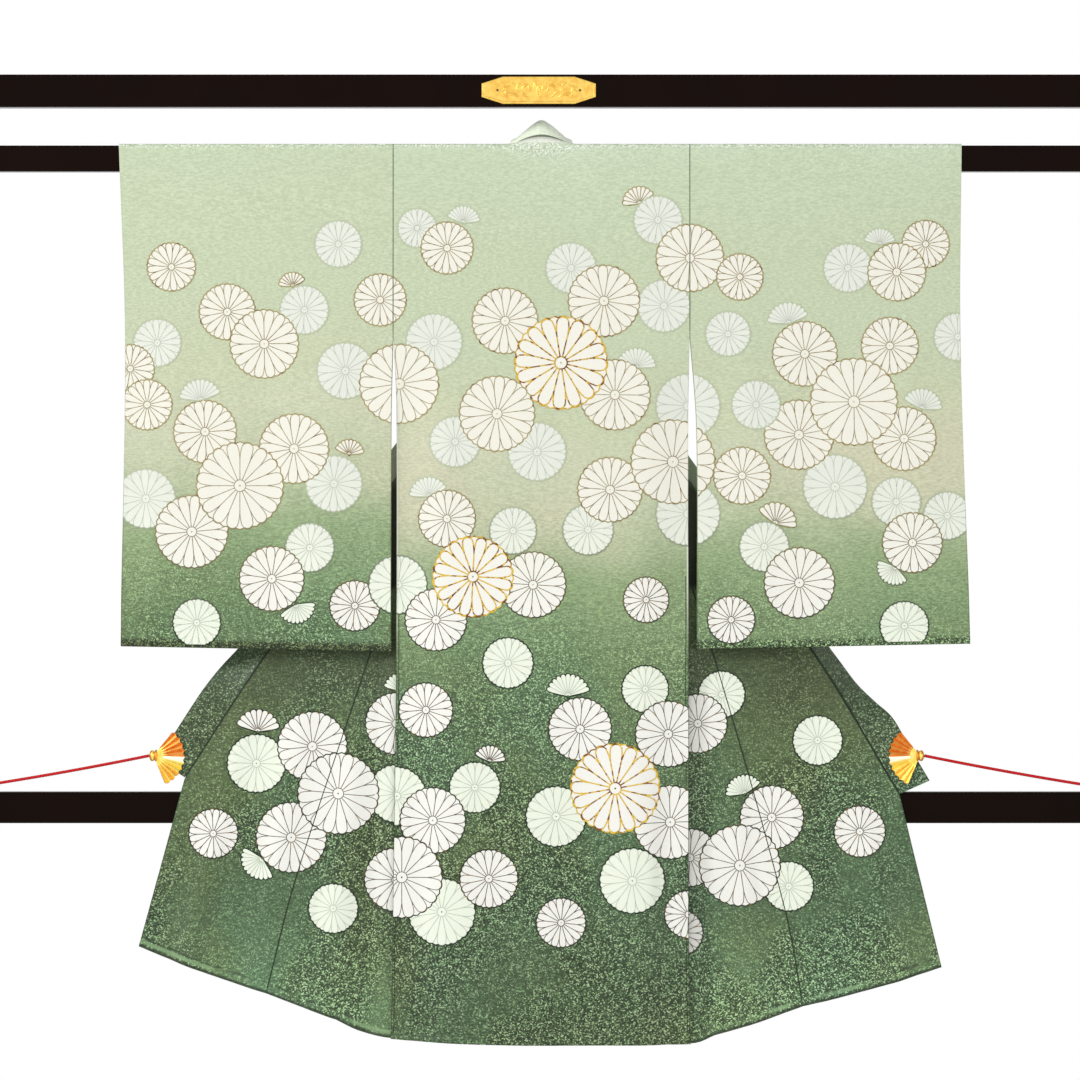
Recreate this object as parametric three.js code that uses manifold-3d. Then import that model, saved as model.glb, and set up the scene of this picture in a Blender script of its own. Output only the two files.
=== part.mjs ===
// A baby's one-width ceremonial kimono hung on a lacquered kimono rack, in millimetres, +Z up.
// The garment's back faces -Y and its opened fronts hang on the +Y side. The origin is on the
// floor under the middle of the rack. "Near" is the back's side, "far" is the fronts' side.
import * as THREE from "three";
import { mergeVertices } from "three/addons/utils/BufferGeometryUtils.js";
import Module from "manifold-3d";

const wasm = await Module();
wasm.setup();

// Driving sizes
const SHOULDER = 1420; // height of the shoulder fold above the floor
const CLOTH = 1.6; // thickness of the lined silk
const COLLAR_CLOTH = 2.2;
const SEAM = 0.3; // space left between two pieces that are sewn or rest together
const SEAM_HALF = 0.2; // each side's share of it where the sewn pieces also fold
const BODY_HALF = 170.5; // half of the loom width, less its seams
const ARMHOLE = 220; // sleeve's attached length, from the shoulder down
const SIDE_OPENING = 316; // where the side seam starts
const COLLAR_WIDTH = 38;
const COLLAR_END = 829; // in the cut cloth, from the shoulder down
const HEM = 1030;

// Rack
const RAIL_DEPTH = 20;
const RAIL_CORNER = 2;
const POST_AT = 690; // from the middle to each post's axis
const POST_SIZE = 32;
const FOOT_HEIGHT = 60;
const FOOT_LENGTH = 400;
const FOOT_WIDTH = 42;
const TOP_RAIL_LENGTH = 1580;
const TOP_RAIL_DEPTH = 24;
const TOP_RAIL_LOW = 42; // above the shoulder
const TOP_RAIL_HIGH = 79.6;
const MIDDLE_RAIL_HEIGHT = 30;
const LOWER_RAIL_TOP = 745.5; // below the shoulder
const LOWER_RAIL_HEIGHT = 36;

// How the cloth passes over the middle rail
const WALL_FROM_RAIL = SEAM + CLOTH / 2;
const CREST = SHOULDER - CLOTH / 2;
const FLAT_TOP = RAIL_DEPTH / 2 - RAIL_CORNER;
const BEND = RAIL_CORNER + WALL_FROM_RAIL;
const BEND_LENGTH = (Math.PI / 2) * BEND;
const PATH_OVER_DROP = FLAT_TOP + BEND_LENGTH - BEND; // path along the cloth less the drop it gives

// The layers below the rail: the far wall leans forward to pass in front of the lower rail
const ROLL_LENGTH = 12.6; // cloth in the roll where a front turns back on itself
const TURN_BACK = (2 * ROLL_LENGTH) / Math.PI; // from the closed layer to the returned one
const HANG_GAP = 17; // between the near and far walls
const LEAN = RAIL_DEPTH + 2 * WALL_FROM_RAIL + TURN_BACK + 1;
const FREE_BELOW = MIDDLE_RAIL_HEIGHT + 8; // the walls hang free of the middle rail from here down
const LEAN_SLOPE = LEAN / (LOWER_RAIL_TOP - FREE_BELOW);

const SILK_PALE = 0xc4d9b8;
const SILK_DEEP = 0x54804f;
const LACQUER = 0x1c100d;
const GILT = 0xd9a441;
const RED = 0xb3202a;

const MATERIALS = {
  pale: new THREE.MeshStandardMaterial({ color: SILK_PALE, roughness: 0.6, metalness: 0 }),
  deep: new THREE.MeshStandardMaterial({ color: SILK_DEEP, roughness: 0.6, metalness: 0 }),
  lacquer: new THREE.MeshStandardMaterial({ color: LACQUER, roughness: 0.2, metalness: 0 }),
  gilt: new THREE.MeshStandardMaterial({ color: GILT, roughness: 0.3, metalness: 1 }),
  cord: new THREE.MeshStandardMaterial({ color: RED, roughness: 0.8, metalness: 0 }),
};

// Each side's own outline, as hung. "out" is the distance from the middle, "drop" the distance
// below the shoulder, and "cut" the distance below the shoulder in the cloth as it was cut.
const LEFT = {
  sign: -1,
  name: "left",
  hemCorner: 1027,
  bodyEdge: [
    { drop: 220, out: 170.5 },
    { drop: 300, out: 167 },
    { drop: 600, out: 167 },
    { drop: 918, out: 171 },
    { drop: 1030, out: 173 },
  ],
  sleeveInner: [
    { drop: 220, out: 170.5 },
    { drop: 320, out: 172.4 },
    { drop: 583, out: 172.4 },
  ],
  sleeveOuter: [
    { drop: 0, out: 486 },
    { drop: 226, out: 478.5 },
    { drop: 577, out: 482.8 },
  ],
  sleeveHem: { inner: 583, outer: 577 },
  okumiSeam: [
    { cut: 0, out: 30, drop: 0 },
    { cut: 22, out: 33.5, drop: 22 },
    { cut: 300, out: 105, drop: 300 },
    { cut: 612, out: 198, drop: 588 },
    { cut: 892, out: 283, drop: 846 },
    { cut: 1030, out: 316.5, drop: 976 },
  ],
  collarSeam: [
    { cut: 300, out: 105, drop: 300 },
    { cut: 657, out: 316, drop: 585.5 },
    { cut: 829, out: 410, drop: 728 },
  ],
  // How far the collar stands away from the rail's plane, in degrees
  collarAway: [
    { cut: 60, away: 90 },
    { cut: 160, away: 66 },
    { cut: 600, away: 52 },
    { cut: 668, away: 41 },
    { cut: 700, away: 24 },
    { cut: 752, away: 0 },
    { cut: 830, away: 0 },
  ],
  collarEndSlope: 34, // degrees above level of the collar's cut end
  hemPoint: { out: 463, drop: 922 },
  hemFull: { depth: 4.8, width: 0.45 }, // the fuller part of the front's hem, as a share of its width
  knob: { out: 446, drop: 703 },
  tieDrop: 741,
};
const RIGHT = {
  sign: 1,
  name: "right",
  hemCorner: 1033,
  bodyEdge: [
    { drop: 220, out: 170.5 },
    { drop: 320, out: 168.8 },
    { drop: 640, out: 168.8 },
    { drop: 918, out: 169 },
    { drop: 1030, out: 171 },
  ],
  sleeveInner: [
    { drop: 220, out: 170.5 },
    { drop: 330, out: 178 },
    { drop: 583, out: 178 },
  ],
  sleeveOuter: [
    { drop: 0, out: 483 },
    { drop: 226, out: 481.4 },
    { drop: 575, out: 492 },
  ],
  sleeveHem: { inner: 580, outer: 574 },
  okumiSeam: [
    { cut: 0, out: 30, drop: 0 },
    { cut: 22, out: 33.5, drop: 22 },
    { cut: 300, out: 105, drop: 300 },
    { cut: 607, out: 198, drop: 588 },
    { cut: 918, out: 280.7, drop: 883 },
    { cut: 1030, out: 300.5, drop: 991 },
  ],
  collarSeam: [
    { cut: 300, out: 105, drop: 300 },
    { cut: 641, out: 311, drop: 582 },
    { cut: 829, out: 411.5, drop: 747 },
  ],
  collarAway: [
    { cut: 60, away: 90 },
    { cut: 160, away: 76 },
    { cut: 600, away: 74 },
    { cut: 668, away: 67 },
    { cut: 700, away: 60 },
    { cut: 728, away: 40 },
    { cut: 752, away: 0 },
    { cut: 830, away: 0 },
  ],
  collarEndSlope: 24,
  hemPoint: { out: 460, drop: 946 },
  hemFull: { depth: 2.6, width: 0.24 },
  knob: { out: 435, drop: 703 },
  tieDrop: 743,
};
const SIDES = [LEFT, RIGHT];

// The largest soft folds. "at" is x at the fold's top, "slant" its shift in x for each mm down,
// "width" and "height" its size, and it fades in and out between "from" and "to" below the shoulder.
const BACK_FOLDS = [
  { at: -140, slant: 0.02, width: 16, height: -3, from: 640, to: 1120 },
  { at: -88, slant: -0.03, width: 24, height: 2.5, from: 560, to: 1120 },
  { at: 40, slant: 0.02, width: 30, height: -2.5, from: 520, to: 1120 },
  { at: 96, slant: 0.03, width: 22, height: 2.5, from: 600, to: 1120 },
  { at: 146, slant: -0.01, width: 14, height: -3, from: 660, to: 1120 },
];
const SLEEVE_FOLDS = [
  { at: 235, slant: 0.03, width: 20, height: 1.5, from: 120, to: 640 },
  { at: 320, slant: -0.02, width: 26, height: -1.5, from: 180, to: 640 },
  { at: 420, slant: 0.04, width: 22, height: 1.5, from: 150, to: 640 },
];
const WING_FOLDS = [
  { at: 210, slant: 0.1, width: 16, height: -4, from: 640, to: 1120 },
  { at: 262, slant: 0.16, width: 18, height: -3, from: 560, to: 1120 },
  { at: 330, slant: 0.22, width: 16, height: -3.5, from: 600, to: 1060 },
  { at: 372, slant: 0.2, width: 14, height: -3, from: 770, to: 1060 },
];

function smooth(t) {
  const s = Math.min(1, Math.max(0, t));
  return s * s * (3 - 2 * s);
}

function mix(a, b, t) {
  return a + (b - a) * t;
}

// The value of a table's column on a smooth curve through its rows, straight past both ends.
function along(rows, key, at, column) {
  const last = rows.length - 1;
  let i = 0;
  while (i < last - 1 && at > rows[i + 1][key]) i += 1;
  const a = rows[i];
  const b = rows[i + 1];
  const span = b[key] - a[key];
  const slope = (j) => {
    const before = rows[Math.max(0, j - 1)];
    const after = rows[Math.min(last, j + 1)];
    return (after[column] - before[column]) / (after[key] - before[key]);
  };
  const t = (at - a[key]) / span;
  if (t < 0) return a[column] + slope(0) * (at - a[key]);
  if (t > 1) return b[column] + slope(last) * (at - b[key]);
  const t2 = t * t;
  const t3 = t2 * t;
  const start = (2 * t3 - 3 * t2 + 1) * a[column] + (t3 - 2 * t2 + t) * span * slope(i);
  return start + (3 * t2 - 2 * t3) * b[column] + (t3 - t2) * span * slope(i + 1);
}

function folded(folds, x, drop) {
  let height = 0;
  for (const fold of folds) {
    const across = (x - fold.at - fold.slant * (drop - fold.from)) / fold.width;
    const fade = 0.25 * (fold.to - fold.from);
    const window = smooth((drop - fold.from) / fade) * smooth((fold.to - drop) / fade);
    height += fold.height * window * Math.exp(-across * across);
  }
  return height;
}

// A side edge of the body or the inner edge of a sleeve: straight down the armhole, then its table
function edgeOut(rows, drop) {
  return drop <= ARMHOLE ? BODY_HALF : along(rows, "drop", drop, "out");
}

// The far wall's distance behind the rack's plane, and the space between the two walls
function farWall(drop) {
  const t = Math.min(1, Math.max(0, (drop - FREE_BELOW) / (LOWER_RAIL_TOP - FREE_BELOW)));
  return RAIL_DEPTH / 2 + WALL_FROM_RAIL - LEAN * t;
}

function wallGap(drop) {
  return mix(RAIL_DEPTH + 2 * WALL_FROM_RAIL, HANG_GAP, smooth((drop - FREE_BELOW) / 260));
}

// The walls meet at the side seam, and open to the full gap on both sides of it.
function bodyGap(side, out, drop) {
  const closing = smooth((drop - ARMHOLE) / (SIDE_OPENING - ARMHOLE));
  const atSeam = mix(wallGap(drop), CLOTH + SEAM, closing);
  const from = edgeOut(side.bodyEdge, drop) - out;
  const reach = from > 0 ? 60 : 22;
  return mix(atSeam, wallGap(drop), smooth(Math.abs(from) / reach));
}

function midWall(drop) {
  return farWall(drop) - wallGap(drop) / 2;
}

function sideOf(x) {
  return x < 0 ? LEFT : RIGHT;
}

// A point of a wall that hangs over the rail. Direction is -1 on the near side and 1 on the far side,
// y its place below the rail, and lift its height above the wall. Above the bend, drop goes on as
// path along the cloth, down to -PATH_OVER_DROP at the crest.
function overRail(direction, x, drop, y, lift) {
  const path = drop + PATH_OVER_DROP;
  if (path <= FLAT_TOP) return new THREE.Vector3(x, direction * path, CREST + lift);
  if (drop >= BEND) return new THREE.Vector3(x, y + direction * lift, CREST - drop);
  const angle = (path - FLAT_TOP) / BEND;
  const reach = BEND + lift;
  return new THREE.Vector3(
    x,
    direction * (FLAT_TOP + reach * Math.sin(angle)),
    CREST - BEND + reach * Math.cos(angle),
  );
}

function closedWall(side, out, drop, lift) {
  const y = midWall(drop) + bodyGap(side, out, drop) / 2;
  return overRail(1, side.sign * out, drop, y, lift);
}

// The returned layer of a front, with its folds, which never reach back to the lower rail.
function returnedWall(side, out, drop, lift) {
  const point = closedWall(side, out, drop, lift);
  point.y += smooth((out - BODY_HALF) / 40) * folded(WING_FOLDS, out, drop);
  return point;
}

// One closed shell around a grid of points, half the thickness to each side. A loop joins its last
// row to its first.
function shell(rows, thickness, loop = false) {
  const count = rows.length;
  const width = rows[0].length;
  const rowAt = (i) => (loop ? rows[(i + count) % count] : rows[Math.min(count - 1, Math.max(0, i))]);
  const vertices = [];
  const inner = [];
  rows.forEach((row, i) => {
    row.forEach((point, j) => {
      const down = rowAt(i + 1)[j].clone().sub(rowAt(i - 1)[j]);
      const across = row[Math.min(width - 1, j + 1)].clone().sub(row[Math.max(0, j - 1)]);
      const normal = down.cross(across).normalize().multiplyScalar(thickness / 2);
      vertices.push(...point.clone().add(normal).toArray());
      inner.push(...point.clone().sub(normal).toArray());
    });
  });
  vertices.push(...inner);
  const under = count * width;
  const faces = [];
  const quad = (a, b, c, d) => faces.push(a, b, c, a, c, d);
  const strips = loop ? count : count - 1;
  for (let i = 0; i < strips; i += 1) {
    const next = (i + 1) % count;
    for (let j = 0; j < width - 1; j += 1) {
      const a = i * width + j;
      const b = next * width + j;
      quad(a, b, b + 1, a + 1);
      quad(under + a, under + a + 1, under + b + 1, under + b);
    }
    const first = [i * width, next * width];
    const last = first.map((k) => k + width - 1);
    quad(first[1], first[0], under + first[0], under + first[1]);
    quad(last[0], last[1], under + last[1], under + last[0]);
  }
  if (!loop) {
    const bottom = (count - 1) * width;
    for (let j = 0; j < width - 1; j += 1) {
      quad(j, j + 1, under + j + 1, under + j);
      quad(bottom + j + 1, bottom + j, under + bottom + j, under + bottom + j + 1);
    }
  }
  return facingOut(vertices, faces);
}

// Turns the faces round if the volume they enclose comes out negative.
function facingOut(vertices, faces) {
  const corner = (k) => new THREE.Vector3().fromArray(vertices, 3 * faces[k]);
  let volume = 0;
  for (let k = 0; k < faces.length; k += 3) volume += corner(k).dot(corner(k + 1).cross(corner(k + 2)));
  if (volume < 0) faces.reverse();
  const geometry = new THREE.BufferGeometry();
  geometry.setAttribute("position", new THREE.Float32BufferAttribute(vertices, 3));
  geometry.setIndex(faces);
  return geometry;
}

function spread(from, to, steps) {
  return Array.from({ length: steps + 1 }, (_, k) => mix(from, to, k / steps));
}

const root = new THREE.Group();

function add(name, geometry, material, place = [0, 0, 0]) {
  const mesh = new THREE.Mesh(geometry, material);
  mesh.name = name;
  mesh.position.set(...place);
  root.add(mesh);
}

// Rows down the cloth from the crest, closer together over the rail
function crestRows() {
  return [SEAM / 2, FLAT_TOP, FLAT_TOP + BEND_LENGTH / 2, FLAT_TOP + BEND_LENGTH].map(
    (path) => path - PATH_OVER_DROP,
  );
}

// Back: one loom width, arched at the neck where the collar lifts it
const NECK_HALF = 24;
const NECK_LIFT = 9;

function neckLift(x, drop) {
  const across = Math.max(0, 1 - (x / 42) ** 2);
  const down = Math.max(0, 1 - (drop + PATH_OVER_DROP) / 60);
  return NECK_LIFT * across * across * down * down;
}

function hemDrop(x) {
  const side = sideOf(x);
  return mix(1034, side.hemCorner, (x / BODY_HALF) ** 2);
}

function backPoint(x, drop, lift) {
  const side = sideOf(x);
  const gap = bodyGap(side, Math.abs(x), drop);
  const inside = smooth((BODY_HALF - Math.abs(x)) / 25);
  const y = midWall(drop) - gap / 2 - inside * folded(BACK_FOLDS, x, drop);
  const point = overRail(-1, x, drop, y, lift);
  point.z += neckLift(x, drop);
  return point;
}

function backPanel() {
  const drops = [...crestRows(), ...spread(28, 220, 5), ...spread(250, 316, 2), ...spread(370, 960, 11)];
  const rows = drops.map((drop) => spreadAcross(drop, 1));
  rows.push(spreadAcross(HEM, 0));
  return shell(rows, CLOTH);
}

// A row of the back from edge to edge, straight across, or along the hem.
function spreadAcross(drop, straight) {
  const shares = [-1, -0.94, -0.84, -0.7, -0.53, -0.36, -0.2, -0.1, 0, 0.1, 0.2, 0.36, 0.53, 0.7, 0.84, 0.94, 1];
  return shares.map((share) => {
    const side = share < 0 ? LEFT : RIGHT;
    const edge = edgeOut(side.bodyEdge, drop) - SEAM / 2;
    const x = share * edge;
    return backPoint(x, straight ? drop : hemDrop(x), 0);
  });
}

// Fronts: the closed layer runs in from the side seam, turns back along a slanting fold that goes
// from the neck to the hem's corner, and returns outwards over itself to the okumi's seam.
const FOLD_AT_NECK = 36.5;

function foldLine(side, cut) {
  const corner = edgeOut(side.bodyEdge, HEM) - 5;
  return mix(FOLD_AT_NECK, corner, cut / HEM);
}

// How far the front has turned on itself: flat at the crest, right over below the neck
function turnAt(cut) {
  return 0.06 + (Math.PI / 2 - 0.06) * smooth((cut + 4) / 60) + (Math.PI / 2) * smooth((cut - 30) / 130);
}

// Stretches the drops of the lowest rows, so that the last one runs along the hem.
function rowDrop(side, cut) {
  return cut * mix(1, side.hemCorner / HEM, smooth((cut - 800) / 230));
}

function neckEdge(cut) {
  const path = cut + PATH_OVER_DROP;
  const corner = 32;
  if (path >= corner) return along(LEFT.okumiSeam, "cut", cut, "out");
  const t = path / corner;
  return mix(NECK_HALF + 1.5, along(LEFT.okumiSeam, "cut", corner - PATH_OVER_DROP, "out"), Math.sqrt(t * (2 - t)));
}

function frontEdge(side, cut) {
  if (cut < 32 - PATH_OVER_DROP) return neckEdge(cut);
  return along(side.okumiSeam, "cut", cut, "out");
}

function edgeDrop(side, cut) {
  return cut < 60 ? cut : mix(cut, along(side.okumiSeam, "cut", cut, "drop"), smooth((cut - 60) / 200));
}

// The row of a front's points at one drop of the cut cloth
function frontRow(side, cut) {
  const drop = rowDrop(side, cut);
  const turn = turnAt(cut);
  const radius = ROLL_LENGTH / turn;
  const edge = frontEdge(side, cut);
  const flat = Math.max(3, edge - foldLine(side, cut));
  const start = edge + radius * Math.sin(turn) + flat * Math.cos(turn);
  const seam = edgeOut(side.bodyEdge, drop) - SEAM / 2;
  const row = spread(seam, start, 5).map((out) => closedWall(side, out, drop, 0));
  for (const angle of spread(0, turn, 5).slice(1)) {
    row.push(closedWall(side, start - radius * Math.sin(angle), drop, radius * (1 - Math.cos(angle))));
  }
  const rise = edgeDrop(side, cut) - drop;
  const from = start - radius * Math.sin(turn);
  const height = radius * (1 - Math.cos(turn));
  for (const share of [0.12, 0.3, 0.65, 1 - SEAM_HALF / flat]) {
    const out = from - share * flat * Math.cos(turn);
    const lift = height + share * flat * Math.sin(turn);
    const low = sag(cut, share) + hemFullness(side, cut, share);
    row.push(returnedWall(side, out, drop + share * rise + low, lift));
  }
  return row;
}

// The hem's soft downward bow between two seams
function sag(cut, share) {
  return 2.5 * smooth((cut - 900) / 130) * Math.sin(Math.PI * share);
}

// How much lower a front's hem hangs next to the body
function hemFullness(side, cut, share) {
  const { depth, width } = side.hemFull;
  return depth * smooth((cut - 900) / 130) * Math.sin(Math.PI * Math.min(1, share / width));
}

function frontPanel(side) {
  const cuts = [
    ...crestRows(), 16, 32, 50, 70, 92, 118, 150, 185, ...spread(220, 316, 3), ...spread(370, 970, 11), HEM,
  ];
  return shell(cuts.map((cut) => frontRow(side, cut)), CLOTH);
}

// Okumi: from the front's edge out to the collar's seam, and below the collar's end to the front edge
const OKUMI_TOP = 316;

function outerEdge(side, cut) {
  const end = side.collarSeam[side.collarSeam.length - 1];
  if (cut <= end.cut) {
    return { out: along(side.collarSeam, "cut", cut, "out"), drop: along(side.collarSeam, "cut", cut, "drop") };
  }
  const t = (cut - end.cut) / (HEM - end.cut);
  return { out: mix(end.out, side.hemPoint.out, t), drop: mix(end.drop, side.hemPoint.drop, t) };
}

function okumiRow(side, cut) {
  const inner = { out: along(side.okumiSeam, "cut", cut, "out"), drop: along(side.okumiSeam, "cut", cut, "drop") };
  const outer = outerEdge(side, cut);
  const width = Math.hypot(outer.out - inner.out, outer.drop - inner.drop);
  const half = SEAM_HALF / width;
  return spread(half, 1 - half, 6).map((share) => {
    const out = mix(inner.out, outer.out, share);
    const drop = mix(inner.drop, outer.drop, share) + sag(cut, share);
    return returnedWall(side, out, drop, TURN_BACK);
  });
}

function okumi(side) {
  const cuts = [OKUMI_TOP, 345, ...spread(390, COLLAR_END, 8), ...spread(880, HEM, 3)];
  return shell(cuts.map((cut) => okumiRow(side, cut)), CLOTH);
}

// Collar: one band from the left end, round the neck, to the right end. Each row is a point of its
// seam, and the way its width goes from there.
function collarSeamPoint(side, cut) {
  if (cut >= OKUMI_TOP) {
    const seam = outerEdge(side, cut);
    return returnedWall(side, seam.out, seam.drop, TURN_BACK);
  }
  const row = frontRow(side, cut);
  return row[row.length - 1];
}

function collarHalf(side) {
  const cuts = [22, 40, 60, 82, 108, 138, 172, 210, 255, 300, ...spread(350, 600, 5), 635, 668, 700, 728, 752, 785];
  const stations = cuts.map((cut) => {
    const away = (Math.PI / 180) * Math.max(0, along(side.collarAway, "cut", cut, "away"));
    const turn = Math.min(turnAt(cut), Math.PI - away);
    const up = 0.5 * smooth((cut - 60) / 200);
    const way = new THREE.Vector3(-side.sign * Math.cos(turn), Math.sin(turn) + up * LEAN_SLOPE, up);
    return { seam: collarSeamPoint(side, cut), way, bend: turnAt(cut) - turn };
  });
  const slope = (Math.PI / 180) * side.collarEndSlope;
  const way = new THREE.Vector3(side.sign * Math.cos(slope), Math.sin(slope) * LEAN_SLOPE, Math.sin(slope));
  return [...stations, { seam: collarSeamPoint(side, COLLAR_END), way, square: false }];
}

function neckPart(side) {
  const places = [
    { x: 10, path: 0, way: [-0.01, 0.88, 0.474] },
    { x: 20, path: 1, way: [-0.04, 0.93, 0.363] },
    { x: 27, path: 6, way: [0, 0.967, 0.255] },
    { x: 31, path: 15, way: [0.09, 0.97, 0.226] },
  ];
  return places.map(({ x, path, way }) => {
    const drop = path - PATH_OVER_DROP;
    const seam = overRail(1, side.sign * x, drop, RAIL_DEPTH / 2 + WALL_FROM_RAIL, 0);
    seam.z += neckLift(x, drop);
    return { seam, way: new THREE.Vector3(side.sign * way[0], way[1], way[2]), square: false };
  });
}

function collar() {
  const middle = { seam: new THREE.Vector3(0, 0, CREST + NECK_LIFT), way: new THREE.Vector3(0, 0.82, 0.57) };
  const leftHalf = [...neckPart(LEFT), ...collarHalf(LEFT)].reverse();
  const stations = [...leftHalf, middle, ...neckPart(RIGHT), ...collarHalf(RIGHT)];
  const last = stations.length - 1;
  const rows = stations.map(({ seam, way, bend = 0, square = true }, i) => {
    const tangent = stations[Math.min(last, i + 1)].seam.clone().sub(stations[Math.max(0, i - 1)].seam);
    tangent.normalize();
    const across = way.clone().addScaledVector(tangent, square ? -way.dot(tangent) : 0).normalize();
    const atBend = SEAM + ((CLOTH + COLLAR_CLOTH) / 2) * Math.tan(bend / 2);
    const clear = Math.max(atBend, mix(1.6, SEAM, smooth((Math.abs(seam.x) - 40) / 60)));
    return spread(clear, COLLAR_WIDTH, 3).map((w) => seam.clone().addScaledVector(across, w));
  });
  return shell(rows, COLLAR_CLOTH);
}

// Sleeve: a flat loop over the rail, closed along its bottom and open at the cuff and inner edge
const SLEEVE_FOOT_GAP = 5;
const SLEEVE_FROM_FRONT = 3; // how far the sleeve's far wall hangs in front of the body's, below the armhole

function sleevePoint(side, direction, share, down) {
  const hem = mix(side.sleeveHem.inner, side.sleeveHem.outer, share) - SLEEVE_FOOT_GAP / 2 - CLOTH / 2;
  const drop = down <= BEND ? down : mix(BEND, hem, (down - BEND) / (HEM - BEND));
  const inner = edgeOut(side.sleeveInner, drop) + SEAM / 2;
  const outer = along(side.sleeveOuter, "drop", Math.max(0, drop), "out");
  const out = mix(inner, outer, share);
  const gap = mix(wallGap(drop), SLEEVE_FOOT_GAP, smooth((drop - hem + 70) / 70));
  const waves = folded(SLEEVE_FOLDS, out, drop) * smooth((hem - drop) / 60) * smooth(share / 0.15);
  const clear = direction > 0 ? SLEEVE_FROM_FRONT * smooth((drop - ARMHOLE) / 60) : 0;
  return overRail(direction, side.sign * out, drop, midWall(drop) + (direction * gap) / 2 - waves - clear, 0);
}

function sleeve(side) {
  const downs = [...crestRows().slice(1), ...spread(30, 900, 13), 960, 1000, HEM];
  const shares = spread(0, 1, 9);
  const wallRows = (direction) =>
    downs.map((down) => shares.map((share) => sleevePoint(side, direction, share, down)));
  const near = wallRows(-1);
  const far = wallRows(1);
  const crest = shares.map((share) => sleevePoint(side, 1, share, -PATH_OVER_DROP));
  const foot = near[near.length - 1].map((point, j) => {
    const low = point.clone().add(far[far.length - 1][j]).multiplyScalar(0.5);
    low.z -= SLEEVE_FOOT_GAP / 2;
    return low;
  });
  return shell([crest, ...far, foot, ...near.reverse()], CLOTH, true);
}

// Rack
function roundedSection(width, height, corner) {
  const shape = new THREE.Shape();
  const x = width / 2;
  const y = height / 2;
  shape.moveTo(-x + corner, -y);
  shape.lineTo(x - corner, -y);
  shape.absarc(x - corner, -y + corner, corner, -Math.PI / 2, 0);
  shape.lineTo(x, y - corner);
  shape.absarc(x - corner, y - corner, corner, 0, Math.PI / 2);
  shape.lineTo(-x + corner, y);
  shape.absarc(-x + corner, y - corner, corner, Math.PI / 2, Math.PI);
  shape.lineTo(-x, -y + corner);
  shape.absarc(-x + corner, -y + corner, corner, Math.PI, 1.5 * Math.PI);
  return shape;
}

// A bar centred on the origin, running along x
function bar(length, depth, height) {
  const section = roundedSection(depth, height, RAIL_CORNER);
  const geometry = new THREE.ExtrudeGeometry(section, { depth: length, bevelEnabled: false, curveSegments: 2 });
  geometry.translate(0, 0, -length / 2);
  geometry.rotateX(Math.PI / 2);
  geometry.rotateZ(Math.PI / 2);
  return geometry;
}

function rack() {
  const between = 2 * POST_AT - POST_SIZE - 2 * SEAM;
  const topHeight = TOP_RAIL_HIGH - TOP_RAIL_LOW;
  add("rail_top", bar(TOP_RAIL_LENGTH, TOP_RAIL_DEPTH, topHeight), MATERIALS.lacquer, [
    0,
    0,
    SHOULDER + TOP_RAIL_LOW + topHeight / 2,
  ]);
  const middleTop = SHOULDER - CLOTH - SEAM;
  add("rail_middle", bar(between, RAIL_DEPTH, MIDDLE_RAIL_HEIGHT), MATERIALS.lacquer, [
    0,
    0,
    middleTop - MIDDLE_RAIL_HEIGHT / 2,
  ]);
  add("rail_lower", bar(between, RAIL_DEPTH, LOWER_RAIL_HEIGHT), MATERIALS.lacquer, [
    0,
    0,
    SHOULDER - LOWER_RAIL_TOP - LOWER_RAIL_HEIGHT / 2,
  ]);
  const postLow = FOOT_HEIGHT + SEAM;
  const postHigh = SHOULDER + TOP_RAIL_LOW - SEAM;
  for (const side of SIDES) {
    const post = bar(postHigh - postLow, POST_SIZE, POST_SIZE);
    post.rotateY(Math.PI / 2);
    add("post_" + side.name, post, MATERIALS.lacquer, [side.sign * POST_AT, 0, (postLow + postHigh) / 2]);
    add("foot_" + side.name, foot(), MATERIALS.lacquer, [side.sign * POST_AT, 0, 0]);
  }
}

// A foot: a block across the rack's depth, its top sloping down to both ends
function foot() {
  const half = FOOT_LENGTH / 2;
  const flat = 45;
  const toe = 26;
  const outline = new THREE.Shape([
    new THREE.Vector2(-half, 0),
    new THREE.Vector2(half, 0),
    new THREE.Vector2(half, toe - 6),
    new THREE.Vector2(half - 8, toe),
    new THREE.Vector2(flat, FOOT_HEIGHT),
    new THREE.Vector2(-flat, FOOT_HEIGHT),
    new THREE.Vector2(-half + 8, toe),
    new THREE.Vector2(-half, toe - 6),
  ]);
  const geometry = new THREE.ExtrudeGeometry(outline, { depth: FOOT_WIDTH, bevelEnabled: false });
  geometry.translate(0, 0, -FOOT_WIDTH / 2);
  geometry.rotateX(Math.PI / 2);
  geometry.rotateZ(Math.PI / 2);
  return geometry;
}

// Gold plate on the top rail: a long octagon
function goldPlate() {
  const half = { long: 65.5, flat: 41.3, high: 15.6, end: 7.7 };
  const corners = [
    [-half.long, -half.end], [-half.flat, -half.high], [half.flat, -half.high], [half.long, -half.end],
    [half.long, half.end], [half.flat, half.high], [-half.flat, half.high], [-half.long, half.end],
  ];
  const outline = new THREE.Shape(corners.map(([x, z]) => new THREE.Vector2(x, z)));
  const thick = 1.5;
  const geometry = new THREE.ExtrudeGeometry(outline, { depth: thick, bevelEnabled: false });
  geometry.rotateX(Math.PI / 2);
  const middle = { x: -3.2, z: SHOULDER + 61.2 };
  add("gold_plate", geometry, MATERIALS.gilt, [middle.x, -TOP_RAIL_DEPTH / 2 - SEAM, middle.z]);
}

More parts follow.
